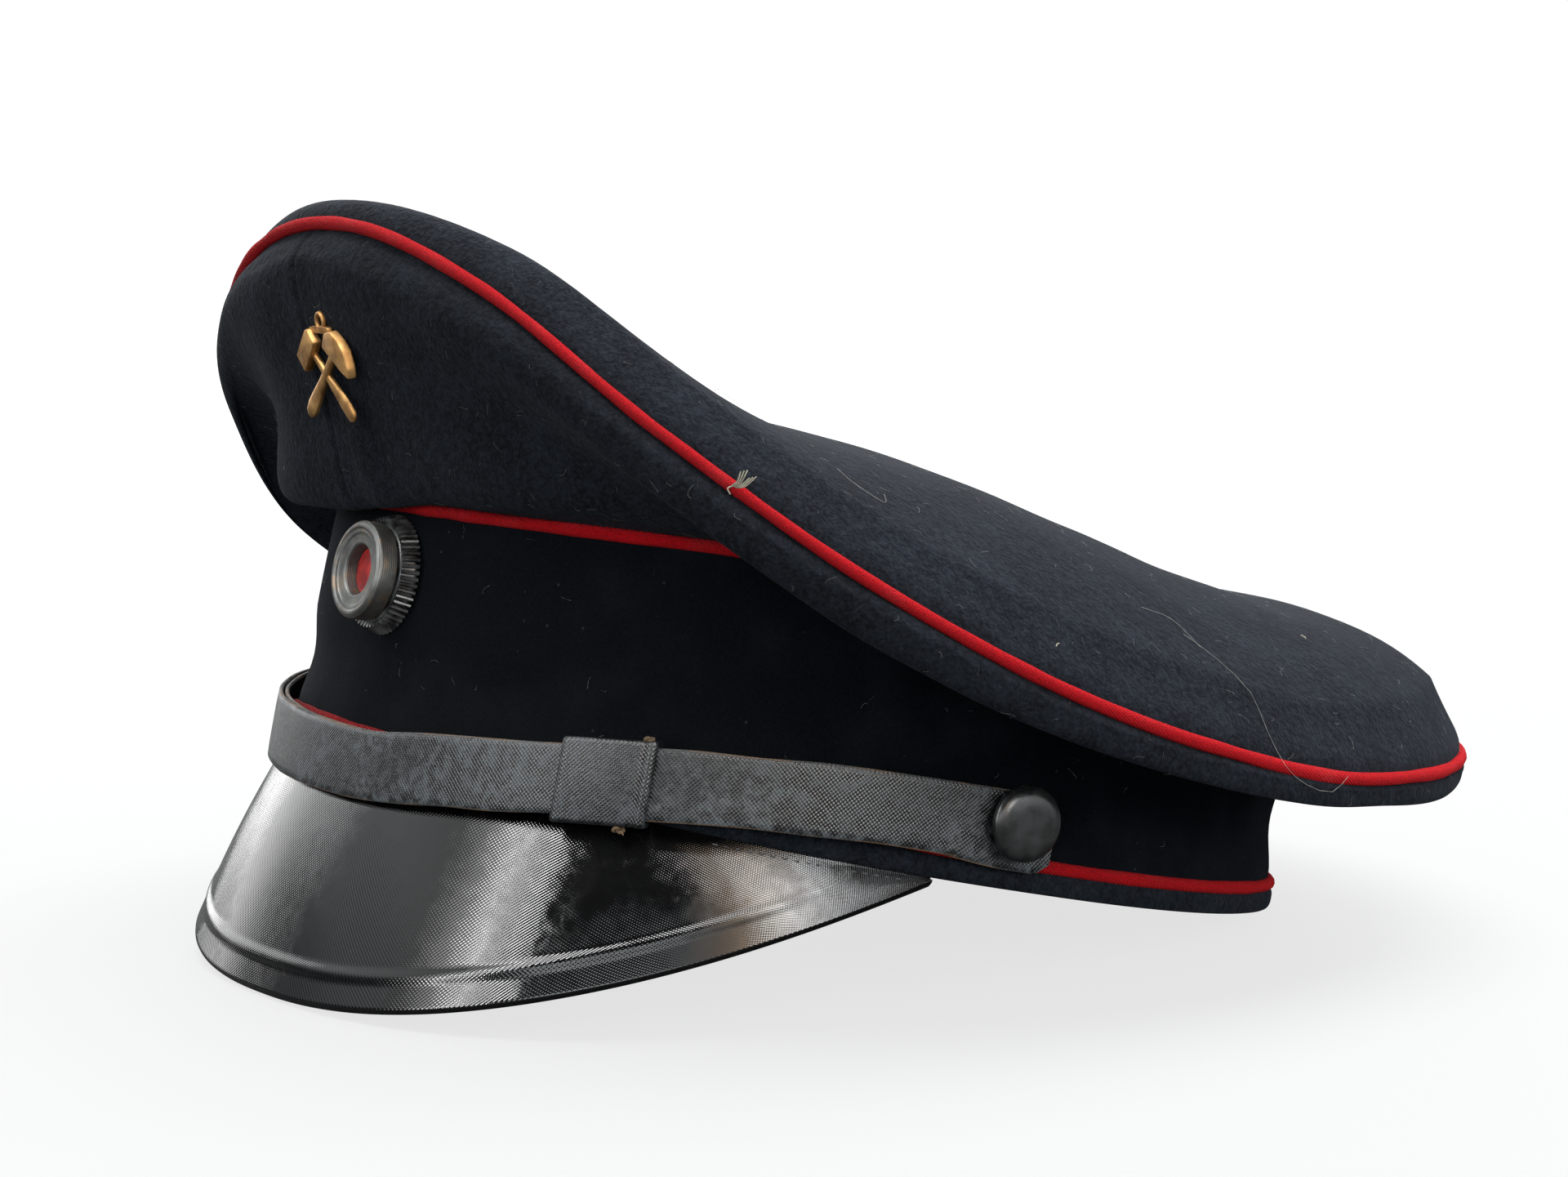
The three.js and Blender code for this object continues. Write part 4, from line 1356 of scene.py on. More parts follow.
    def build(self) -> list[Object]:
        """Makes the crown's cloth and its piping."""
        piping = Piping(self.shape, self.make, self.finishes)
        height = self.column("piping", piping.angles)
        piping.cord("crown_seam_piping", self.shape.crown_edge, height, 0.0, "crown_piping")
        return [self.quarters(), self.top()]


@dataclass
class Piping(Assembly):
    """Cloth-covered cord sewn into a seam, right round the head."""

    sides: int = 12
    squeeze: float = 0.05
    angles: Array = field(default_factory=lambda: angles_round(0.6))

    def cord(self, name: str, oval: Oval, height: Array, proud: float, node: str) -> Object:
        """Makes one piping.

        Args:
            name: the piece's name.
            oval: the ring that it follows.
            height: its height at each of the angles.
            proud: how far it stands out from the ring.
            node: the CAD node that it replaces.

        Returns:
            The piping.
        """
        middle = oval.beside(self.angles, proud, height)
        uneven = 1 + self.squeeze * soft_noise(middle, 7.0, 11)
        turn = circle(self.sides) + math.pi
        radius = self.shape.piping_radius * uneven[:, None]
        rings = oval.beside(self.angles[:, None], proud + radius * np.cos(turn),
                            height[:, None] + radius * np.sin(turn))
        around = np.linspace(0, 2 * math.pi * self.shape.piping_radius, self.sides + 1)
        shell = Shell.loft(rings, lengths_along(np.vstack([middle, middle[:1]])), around)
        thing = self.make.mesh_object(name, shell, 180.0)
        return self.make.piece(thing, Slot.PIPING, self.finishes.piping, [node])


# Band and peak


@dataclass
class Band(Assembly):
    """The velvet band with a piping on each edge, and the felt welt under it."""

    wall: float = 2.2
    waist: float = 1.2
    waist_end: float = 0.5
    welt_foot: float = 0.2
    welt_bulge: float = 1.3
    welt_shoulder: float = 0.5
    welt_squash: float = 0.5

    def wall_points(self, angle: Array, share: Array, depth: float) -> Array:
        """Points of the band, shaped (angles, shares, 3), at a depth under its face."""
        pull = self.waist * np.sin(math.pi * np.clip(share / self.waist_end, 0, 1)) ** 2
        out = (-depth - pull)[None]
        around = angle[:, None]
        seat = self.shape.piping_seat
        foot = self.shape.band_foot.beside(around, out, self.shape.lower_piping_height(around) + seat)
        head = self.shape.band_head.beside(around, out, self.shape.upper_piping_height(around) - seat)
        points = mix(foot, head, share[None, :, None])
        swell = soft_noise(points, 38.0, 21) * 0.25 * np.sin(math.pi * share)[None]
        normal = self.shape.band_foot.normal(around)
        points[..., :2] += normal * swell[..., None]
        return points

    def velvet(self) -> Object:
        """The band's wall."""
        angles = angles_round(1.5)
        rings = np.concatenate([
            self.wall_points(angles, np.linspace(0, 1, 22), 0.0),
            self.wall_points(angles, np.linspace(1, 0, 8), self.wall),
        ], 1)
        thing = self.make.mesh_object("band_velvet_wall", Shell.loft(rings))
        return self.make.piece(thing, Slot.VELVET, self.finishes.velvet, ["band"])

    def welt(self, floor_height: float) -> Object:
        """The rounded felt strip under the band, flattened where it lies on the surface.

        Args:
            floor_height: the surface's height in the upright frame's tilted measure.

        Returns:
            The welt.
        """
        top = self.shape.lower_piping - self.shape.piping_seat
        outline = filleted([
            (-self.wall, 0.0), (self.welt_foot + 0.5, -0.1), (self.welt_bulge, 0.9),
            (self.welt_bulge, top - 0.8), (self.welt_shoulder, top), (-self.wall, top),
        ], 0.9, 4, closed=True)
        angles = angles_round(1.5)
        stretch = 1 + self.shape.welt_rise(angles)[:, None] / top
        height = self.shape.rim_height(angles)[:, None] + outline[None, :, 1] * stretch
        rings = self.shape.band_foot.beside(angles[:, None], outline[None, :, 0], height)
        tilt = self.make.pose.tilt
        height = rings[..., 2] * math.cos(tilt) - rings[..., 1] * math.sin(tilt)
        sunk = np.maximum(floor_height - height, 0)
        rings[..., 1] -= sunk * math.sin(tilt)
        rings[..., 2] += sunk * math.cos(tilt)
        thing = self.make.mesh_object("base_welt_felt", Shell.loft(rings))
        return self.make.piece(thing, Slot.FELT, self.finishes.felt, ["base_welt"])

    def build(self, floor_height: float) -> list[Object]:
        """Makes the band, its pipings and its welt."""
        piping = Piping(self.shape, self.make, self.finishes)
        proud = self.shape.piping_proud
        upper = self.shape.upper_piping_height(piping.angles)
        lower = self.shape.lower_piping_height(piping.angles)
        piping.cord("band_upper_piping", self.shape.band_head, upper, proud, "upper_piping")
        piping.cord("band_lower_piping", self.shape.band_foot, lower, proud, "lower_piping")
        return [self.velvet(), self.welt(floor_height)]


@dataclass
class Peak:
    """The lacquered peak, with a raised line inside its edge."""

    shape: CapShape
    reach: float = 48.0
    slope: float = 74.8
    end_slope: float = 64.0
    half_angle: float = 78.0
    last_angle: float = 76.8
    thickness: float = 1.8
    bow: float = 0.8
    root: float = 0.2
    bead_inset: float = 6.6
    bead_height: float = 0.32
    bead_half_width: float = 1.9
    bead_fade: float = 14.0
    edge_round: float = 0.7
    tuck: float = 1.2
    stitch_from: float = 52.0
    stitch_to: float = 73.0
    stitch_count: int = 17
    stitch_run: float = 1.3
    stitch_rise: float = 0.1
    stitch_length: float = 0.9
    stitch_radius: float = 0.13

    def reach_at(self, angle: Array) -> Array:
        """How far the peak runs from its root at these angles."""
        return self.reach * np.cos(angle / self.half_angle * math.pi / 2)

    def points(self, angle: Array, run: Array, depth: Numbers) -> Array:
        """Points of the peak, at a run from its root and a depth under its face."""
        turned = (1 - np.cos(np.radians(angle))) / (1 - math.cos(math.radians(self.half_angle)))
        slope = np.radians(mix(self.slope, self.end_slope, turned))
        reach = self.reach_at(angle)
        share = np.clip(run / reach, 0, 1)
        away = np.abs(reach - self.bead_inset - run) / self.bead_half_width
        bead = np.where(away < 1, 0.5 + 0.5 * np.cos(math.pi * np.minimum(away, 1)), 0)
        fade = np.clip((reach - self.bead_inset) / self.bead_fade, 0, 1)
        lift = self.bow * np.sin(math.pi * share) + self.bead_height * bead * fade - depth
        out = self.root + run * np.cos(slope) + lift * np.sin(slope)
        root = self.shape.rim_height(angle) - self.shape.seam_gap
        return self.shape.band_foot.beside(angle, out, root - run * np.sin(slope) + lift * np.cos(slope))

    def build(self, make: Maker, finishes: Finishes) -> list[Object]:
        """Makes the peak and the stitches that hold it to the welt."""
        angle = np.linspace(-self.last_angle, self.last_angle, 220)[:, None]
        share = np.concatenate([np.linspace(0, 0.6, 16), np.linspace(0.6, 1, 44)[1:]])
        reach = self.reach_at(angle)
        edge = self.edge_round
        face = self.points(angle, mix(-self.tuck, reach - edge, share[None]), 0.0)
        turn = np.linspace(0, math.pi, 7)[1:-1]
        rim_run = reach - edge + edge * np.sin(turn)
        rim = self.points(angle, rim_run, self.thickness / 2 * (1 - np.cos(turn)))
        back = self.points(angle, mix(-self.tuck, reach - edge, np.linspace(1, 0, 14)[None]), self.thickness)
        rings = np.concatenate([face, rim, back], 1)
        beneath = -1 - np.linspace(0, self.reach, 15)
        down = np.concatenate([share * self.reach, self.reach + np.zeros(5), beneath])
        shell = Shell.loft(rings, lengths_along(face[:, 0]), down, looped=False)
        thing = make.mesh_object("peak_lacquered", shell, 60.0)
        peak = make.piece(thing, Slot.LACQUER, finishes.lacquer, ["peak"])
        return [peak, *self.stitches(make, finishes)]

    def stitches(self, make: Maker, finishes: Finishes) -> list[Object]:
        """Makes the rows of stitches along the ends of the peak's root, one row for each side."""
        made = []
        for side in Side:
            angle = np.linspace(self.stitch_from, self.stitch_to, 40) * side.value
            run = np.full_like(angle, self.stitch_run)
            line = make.pose.place(self.points(angle, run, np.full_like(angle, -self.stitch_rise)))
            mesh = bpy.data.meshes.new("stitch_line")
            mesh.from_pydata(line.tolist(), [(k, k + 1) for k in range(len(line) - 1)], [])
            thing = linked("stitch_line", mesh)
            name = f"peak_stitches_{side.name.lower()}"
            sizes = {"Count": float(self.stitch_count), "Length": self.stitch_length * MM,
                     "Radius": self.stitch_radius * MM}
            nodes = NodeTree(name, sizes, finishes.grey)
            curve = nodes.made("GeometryNodeMeshToCurve", None, {0: nodes.given("Geometry")})
            spots = nodes.node("GeometryNodeCurveToPoints", None, {0: curve, "Count": nodes.given("Count")})
            stitch = nodes.made("GeometryNodeMeshCylinder", {"fill_type": "NGON"}, {
                "Vertices": 6, "Radius": nodes.given("Radius"), "Depth": nodes.given("Length")})
            aim = nodes.made("FunctionNodeAlignRotationToVector", {"axis": "Z"}, {
                "Vector": spots.outputs["Tangent"]})
            rows = nodes.made("GeometryNodeInstanceOnPoints", None, {
                "Points": spots.outputs[0], "Instance": stitch, "Rotation": aim})
            made.append(make.piece(nodes.bake(thing, rows, name), Slot.LACQUER))
        return made


# Chin strap


@dataclass(frozen=True)
class StrapRow:
    """The strap's height, and how far its face stands off the band, on the left and on the right."""

    left: float
    right: float
    off_left: float
    off_right: float


STRAP_ROWS = (
    StrapRow(-0.6, -0.6, 4.8, 4.8),
    StrapRow(2.4, 1.2, 5.1, 4.3),
    StrapRow(6.0, 4.8, 5.2, 4.1),
    StrapRow(9.2, 8.4, 4.9, 4.9),
    StrapRow(10.1, 10.1, 4.7, 4.7),
    StrapRow(10.1, 10.1, 4.7, 4.7),
)


@dataclass
class ChinStrap(Assembly):
    """The strap's two layers, the keepers round them, and the buttons that hold them."""

    spacing: float = 20.0
    width: float = 13.0
    thickness: float = 0.9
    layer_gap: float = 0.3
    front_end: float = 77.9
    tab_start: float = 74.0
    tab_end: float = 87.5
    tab_cut: float = 1.8
    tab_top_cut: float = 5.5
    tab_drop: float = 1.4
    keeper_left: float = 38.3
    keeper_right: float = -62.0
    keeper_half: float = 5.6
    keeper_wall: float = 0.9
    fold_height: float = 0.42
    fold_place: float = 0.9
    groove_depth: float = 0.28
    groove_place: float = 0.74
    knot_wire: float = 0.34
    tail_wire: float = 0.16
    clearance: float = 0.3
    button_angle: float = 84.0
    button_height: float = 11.2
    button_radius: float = 7.0
    button_thickness: float = 3.9
    step: float = 0.5
    edge_round: float = 0.28

    @property
    def under(self) -> float:
        """How deep the lower layer's face lies."""
        return self.thickness + self.layer_gap

    def route(self, angle: Array) -> tuple[Array, Array]:
        """The height of the strap's middle and its face's distance from the band at these angles."""
        left, right, off_left, off_right = (
            table_value([getattr(row, column.name) for row in STRAP_ROWS], self.spacing, angle)
            for column in fields(StrapRow)
        )
        return np.where(angle < 0, right, left), np.where(angle < 0, off_right, off_left)

    def points(self, angle: Array, across: Array, depth: Array) -> Array:
        """Points of the strap at a distance across it and a depth under its face."""
        height, off = self.route(angle)
        return self.shape.band_foot.beside(angle, off - depth, height + across)

    def section(self, wall: float) -> tuple[Array, Array]:
        """The rounded section of a strip, as (across, depth) rows, and its pattern coordinate.

        Args:
            wall: the strip's thickness.

        Returns:
            The rows and, for each and once more, the distance across the strip, past its width elsewhere.
        """
        half = self.width / 2
        ease = self.edge_round
        face = np.linspace(half - ease, -half + ease, 13)
        crown = 0.12 * (np.abs(face) / half) ** 4
        rows = np.concatenate([
            np.stack([face, crown], -1),
            [[-half, ease], [-half, wall - ease], [-half + ease, wall]],
            [[half - ease, wall], [half, wall - ease], [half, ease]],
        ])
        across = np.concatenate([half - face, [self.width] * 3, [-0.5] * 3, [0.0]])
        return rows, across

    def strip(self, angles: Array, depth: Array, wall: float) -> Shell:
        """A strip of strap.

        Args:
            angles: the angles that it passes.
            depth: how deep its face lies at each.
            wall: its thickness.

        Returns:
            The strip.
        """
        rows, across = self.section(wall)
        places = np.stack(np.broadcast_arrays(angles[:, None], rows[None, :, 0], 0.0), -1)
        wander = 0.16 * soft_noise(places, 8.0, 31) * (np.abs(rows[None, :, 0]) > 6)
        rings = self.points(angles[:, None], rows[None, :, 0] + wander, depth[:, None] + rows[None, :, 1])
        return Shell.loft(rings, lengths_along(rings[:, 6]), across, looped=False)

    def tab(self, side: Side) -> Shell:
        """The lower tab under a button, its corners cut."""
        angles = np.linspace(self.tab_start, self.tab_end, 28)
        rows, across = self.section(self.thickness)
        length = np.radians(self.tab_end - angles) * self.shape.band_foot.side
        low_cut, top_cut = (np.clip(cut - length, 0, cut) for cut in (self.tab_cut, self.tab_top_cut))
        drop = self.tab_drop * smooth_step(angles, self.tab_start, self.button_angle)
        half = self.width / 2
        height = np.clip(rows[None, :, 0], low_cut[:, None] - half, half - top_cut[:, None])
        height = height - drop[:, None] * (0.5 - height / self.width)
        rings = self.points(side.value * angles[:, None], height, self.under + rows[None, :, 1])
        return Shell.loft(rings, lengths_along(rings[:, 6]), across, looped=False)

    def half(self, side: Side) -> Object:
        """One half of the strap: its long strip and the tab under its button."""
        own_end = side.value * self.front_end
        if side is Side.LEFT:
            far = self.keeper_right - self.keeper_half
            angles = np.arange(far, own_end + self.step / 2, self.step)
            depth = np.zeros_like(angles)
        else:
            far = self.keeper_left + self.keeper_half
            angles = np.arange(own_end, far + self.step / 2, self.step)
            outside = self.keeper_right - self.keeper_half
            depth = self.under * smooth_step(angles, outside - 4, outside - 0.6)
        shell = Shell.joined([self.strip(angles, depth, self.thickness), self.tab(side)])
        thing = self.make.mesh_object(f"chin_strap_{side.name.lower()}", shell)
        return self.make.piece(thing, Slot.LEATHER, self.finishes.leather, [f"strap_{side.name.lower()}"])

    def keeper(self, side: Side) -> Object:
        """A flat keeper round both layers, with the fold that its end makes."""
        centre = self.keeper_left if side is Side.LEFT else self.keeper_right
        stack = self.under + self.thickness
        outlines = []
        for grown, radius in ((self.clearance, 0.35), (self.clearance + self.keeper_wall, 0.9)):
            half, back = self.width / 2 + grown, stack + grown
            corners = [(half, -grown), (-half, -grown), (-half, back), (half, back)]
            outlines.append(filleted(corners, radius, 3, closed=True))
        inner, outer = outlines
        spread = np.linspace(-1, 1, 31)
        angles = centre + self.keeper_half * spread
        ease = 0.35 * (np.abs(spread) > 0.97)
        fold = self.fold_height * np.exp(-((spread - self.fold_place * side.value) / 0.09) ** 4)
        groove = self.groove_depth * np.exp(-((spread - self.groove_place * side.value) / 0.035) ** 2)
        grow = (fold - groove - ease)[:, None]
        away = unit(outer - outer.mean(0))
        face_only = (outer[:, 1] < 0)[None] * 1.0
        across = outer[None, :, 0] + away[None, :, 0] * grow * 0.3
        depth = outer[None, :, 1] - grow * face_only
        outside = self.points(angles[:, None], across, depth)
        inside = self.points(angles[::-1, None], inner[None, :, 0], inner[None, :, 1])
        rings = np.concatenate([outside, inside])
        length = lengths_along(rings[:, 0])
        perimeter = lengths_along(np.vstack([outer, outer[:1]]))
        shell = Shell.loft(rings, np.append(length, length[-1]), perimeter + self.width * 4)
        name = f"strap_keeper_{side.name.lower()}"
        thing = self.make.mesh_object(name, shell, 50.0)
        return self.make.piece(thing, Slot.LEATHER, self.finishes.keeper, [f"keeper_{side.name.lower()}"])

    def knots(self, side: Side) -> Object:
        """The thread knots above and below a keeper's folded end."""
        centre = self.keeper_left if side is Side.LEFT else self.keeper_right
        half = self.width / 2 + self.clearance + self.keeper_wall
        spots = ((4.3, half + 0.3, 0.8), (2.6, -half - 0.6, 1.0))
        turn = circle(60)
        knot = np.stack([
            np.sin(turn) + 2 * np.sin(2 * turn), np.cos(turn) - 2 * np.cos(2 * turn), -np.sin(3 * turn),
        ], -1) / 3
        shells = []
        for along, across, size in spots:
            angle = np.array([centre + along * side.value])
            middle = self.points(angle, np.array([across]), np.array([0.4]))[0]
            shells.append(tube(middle + knot * size, self.knot_wire, 6, closed=True))
            tail = np.array([[0, 0, 0], [0.5, 0.2, 0.3], [1.1, -0.1, -0.2], [1.5, 0.3, -0.7]]) * size
            shells.append(tube(middle + tail, self.tail_wire, 5))
        thing = self.make.mesh_object(f"keeper_knots_{side.name.lower()}", Shell.joined(shells))
        return self.make.piece(thing, Slot.LEATHER, self.finishes.tan)

    def button(self, side: Side) -> Object:
        """A pressed button with a rounded rim."""
        angle = side.value * self.button_angle
        _, off = self.route(np.array(angle))
        seat = float(off) - self.under + self.shape.seam_gap
        radius, thick = self.button_radius, self.button_thickness
        profile = filleted([
            (0.3, 0.0), (radius - 1.6, 0.0), (radius, 1.3), (radius, thick - 1.1),
            (radius - 1.3, thick - 0.25), (radius * 0.5, thick), (0.2, thick + 0.05),
        ], 0.9, 5)
        shell = lathe(profile, 64).moved(on_band(self.shape, angle, seat, self.button_height))
        name = f"strap_button_{side.name.lower()}"
        thing = self.make.mesh_object(name, shell, 60.0)
        return self.make.piece(thing, Slot.ENAMEL, self.finishes.enamel, [f"button_{side.name.lower()}"])

    def build(self) -> list[Object]:
        """Makes the strap, its keepers and its buttons."""
        made = []
        for side in Side:
            made += [self.half(side), self.keeper(side), self.knots(side), self.button(side)]
        return made


def on_band(shape: CapShape, angle: float, out: float, height: float) -> Matrix:
    """The place on the band where +Y points outwards.

    Args:
        shape: the cap's sizes.
        angle: where round the head.
        out: the distance from the band's foot ring.
        height: the height above the rim.

    Returns:
        The matrix that moves a turned piece there.
    """
    flat = shape.band_foot.normal(angle)
    outward = Vector((*flat, 0.0))
    turn = Vector((0.0, 1.0, 0.0)).rotation_difference(outward).to_matrix().to_4x4()
    return Matrix.Translation(Vector(shape.band_foot.beside(angle, out, height))) @ turn


# Cockade and badge


@dataclass
class Cockade(Assembly):
    """The round cockade: a ribbed skirt against the band, a turned steel ring and a red centre."""

    height: float = 34.5
    skirt_radius: float = 11.0
    skirt_depth: float = 3.4
    skirt_neck: float = 9.6
    ribs: int = 54
    rib_radius: float = 0.42
    rib_lean: float = -0.30
    rib_stretch: float = 1.5
    ring_radius: float = 9.2
    ring_depth: float = 4.2
    hole_radius: float = 4.7
    hole_depth: float = 2.6
    face_step: float = 0.7

    @property
    def seat(self) -> float:
        """Where the skirt's back lies, out from the band's foot ring."""
        lean = self.shape.band_head.point(0.0)[1] - self.shape.band_foot.point(0.0)[1]
        return self.shape.seam_gap - float(lean)

    def place(self, out: float) -> Matrix:
        """The cockade's place at a distance out from its seat."""
        return on_band(self.shape, 0.0, self.seat + out, self.height)

    def skirt(self) -> Object:
        """The ribbed skirt: close ribs round a cone, by Geometry Nodes."""
        core = filleted([
            (0.5, 0.0), (self.skirt_radius - 1.0, 0.0), (self.skirt_radius - 0.5, 0.6),
            (self.skirt_neck - 0.4, self.skirt_depth), (0.5, self.skirt_depth),
        ], 0.4, 2)
        thing = self.make.mesh_object("skirt_core", lathe(core, 76).moved(self.place(0.0)))
        # The ribbed enamel's pale patches are painted glints.
        thing.data.materials.append(self.finishes.ribbed)
        sizes = {"Ribs": float(self.ribs), "Ring radius": (self.skirt_radius - 0.75) * MM,
                 "Rib radius": self.rib_radius * MM, "Rib length": (self.skirt_depth - 0.1) * MM}
        nodes = NodeTree("cockade_ribs", sizes, self.finishes.ribbed)
        circle = nodes.made("GeometryNodeMeshCircle", None, {
            "Vertices": nodes.given("Ribs"), "Radius": nodes.given("Ring radius")})
        rib = nodes.made("GeometryNodeMeshCylinder", {"fill_type": "NGON"}, {
            "Vertices": 8, "Radius": nodes.given("Rib radius"), "Depth": nodes.given("Rib length")})
        spot = nodes.made("GeometryNodeInputPosition")
        outward = nodes.made("FunctionNodeAlignRotationToVector", {"axis": "X"}, {"Vector": spot})
        lean = nodes.made("FunctionNodeRotateRotation", {"rotation_space": "LOCAL"}, {
            "Rotation": outward, "Rotate By": (0.0, self.rib_lean, 0.0)})
        ring = nodes.made("GeometryNodeInstanceOnPoints", None, {
            "Points": circle, "Instance": rib, "Rotation": lean, "Scale": (self.rib_stretch, 1.0, 1.0)})
        upright = self.row_matrix(self.skirt_depth / 2)
        placed = nodes.made("GeometryNodeTransform", None, {
            "Geometry": ring, "Translation": upright.to_translation(), "Rotation": upright.to_euler()})
        both = nodes.made("GeometryNodeJoinGeometry", None, {0: [placed, nodes.given("Geometry")]})
        skirt = nodes.bake(thing, both, "cockade_ribbed_skirt")
        return self.make.piece(skirt, Slot.ENAMEL, replaces=["cockade_skirt"])

    def row_matrix(self, out: float) -> Matrix:
        """The cockade's axis as +Z in the row frame, at a distance out from its seat."""
        place = self.place(out)
        middle = Vector(self.make.pose.place(np.array(place.translation)[None])[0])
        ahead = self.make.pose.place(np.array(place @ Vector((0, 1, 0)))[None])[0] - np.array(middle)
        turn = Vector((0, 0, 1)).rotation_difference(Vector(ahead)).to_matrix().to_4x4()
        return Matrix.Translation(middle) @ turn

    def ring(self) -> Object:
        """The turned ring with its stepped face and its hole."""
        r, depth = self.ring_radius, self.ring_depth
        face = depth - self.face_step
        floor = face - self.hole_depth
        profile = filleted([
            (0.4, 0.0), (r - 0.2, 0.0), (r, 0.3), (r, depth - 0.7), (r - 0.7, depth), (r - 1.3, depth),
            (r - 1.5, depth - 0.3), (r - 2.3, depth - 0.3), (r - 2.5, face + 0.1),
            (self.hole_radius + 0.3, face), (self.hole_radius, face - 0.4),
            (self.hole_radius - 0.1, floor), (0.4, floor),
        ], 0.22, 3)
        shell = lathe(profile, 96).moved(self.place(self.skirt_depth + self.shape.seam_gap))
        thing = self.make.mesh_object("cockade_steel_ring", shell)
        return self.make.piece(thing, Slot.STEEL, self.finishes.steel, ["cockade_ring"])

    def centre(self) -> Object:
        """The red centre, slightly domed."""
        radius = self.hole_radius - self.shape.seam_gap
        dome = [(0.2, 0.0), (radius, 0.0), (radius, 0.2), (radius * 0.5, 0.5), (0.15, 0.55)]
        profile = filleted(dome, 0.2, 4)
        floor = self.skirt_depth + self.ring_depth - self.face_step - self.hole_depth
        out = floor + 1.5 * self.shape.seam_gap
        thing = self.make.mesh_object("cockade_red_centre", lathe(profile, 48).moved(self.place(out)))
        return self.make.piece(thing, Slot.RED, self.finishes.red, ["cockade_centre"])

    def build(self) -> list[Object]:
        """Makes the cockade."""
        return [self.skirt(), self.ring(), self.centre()]


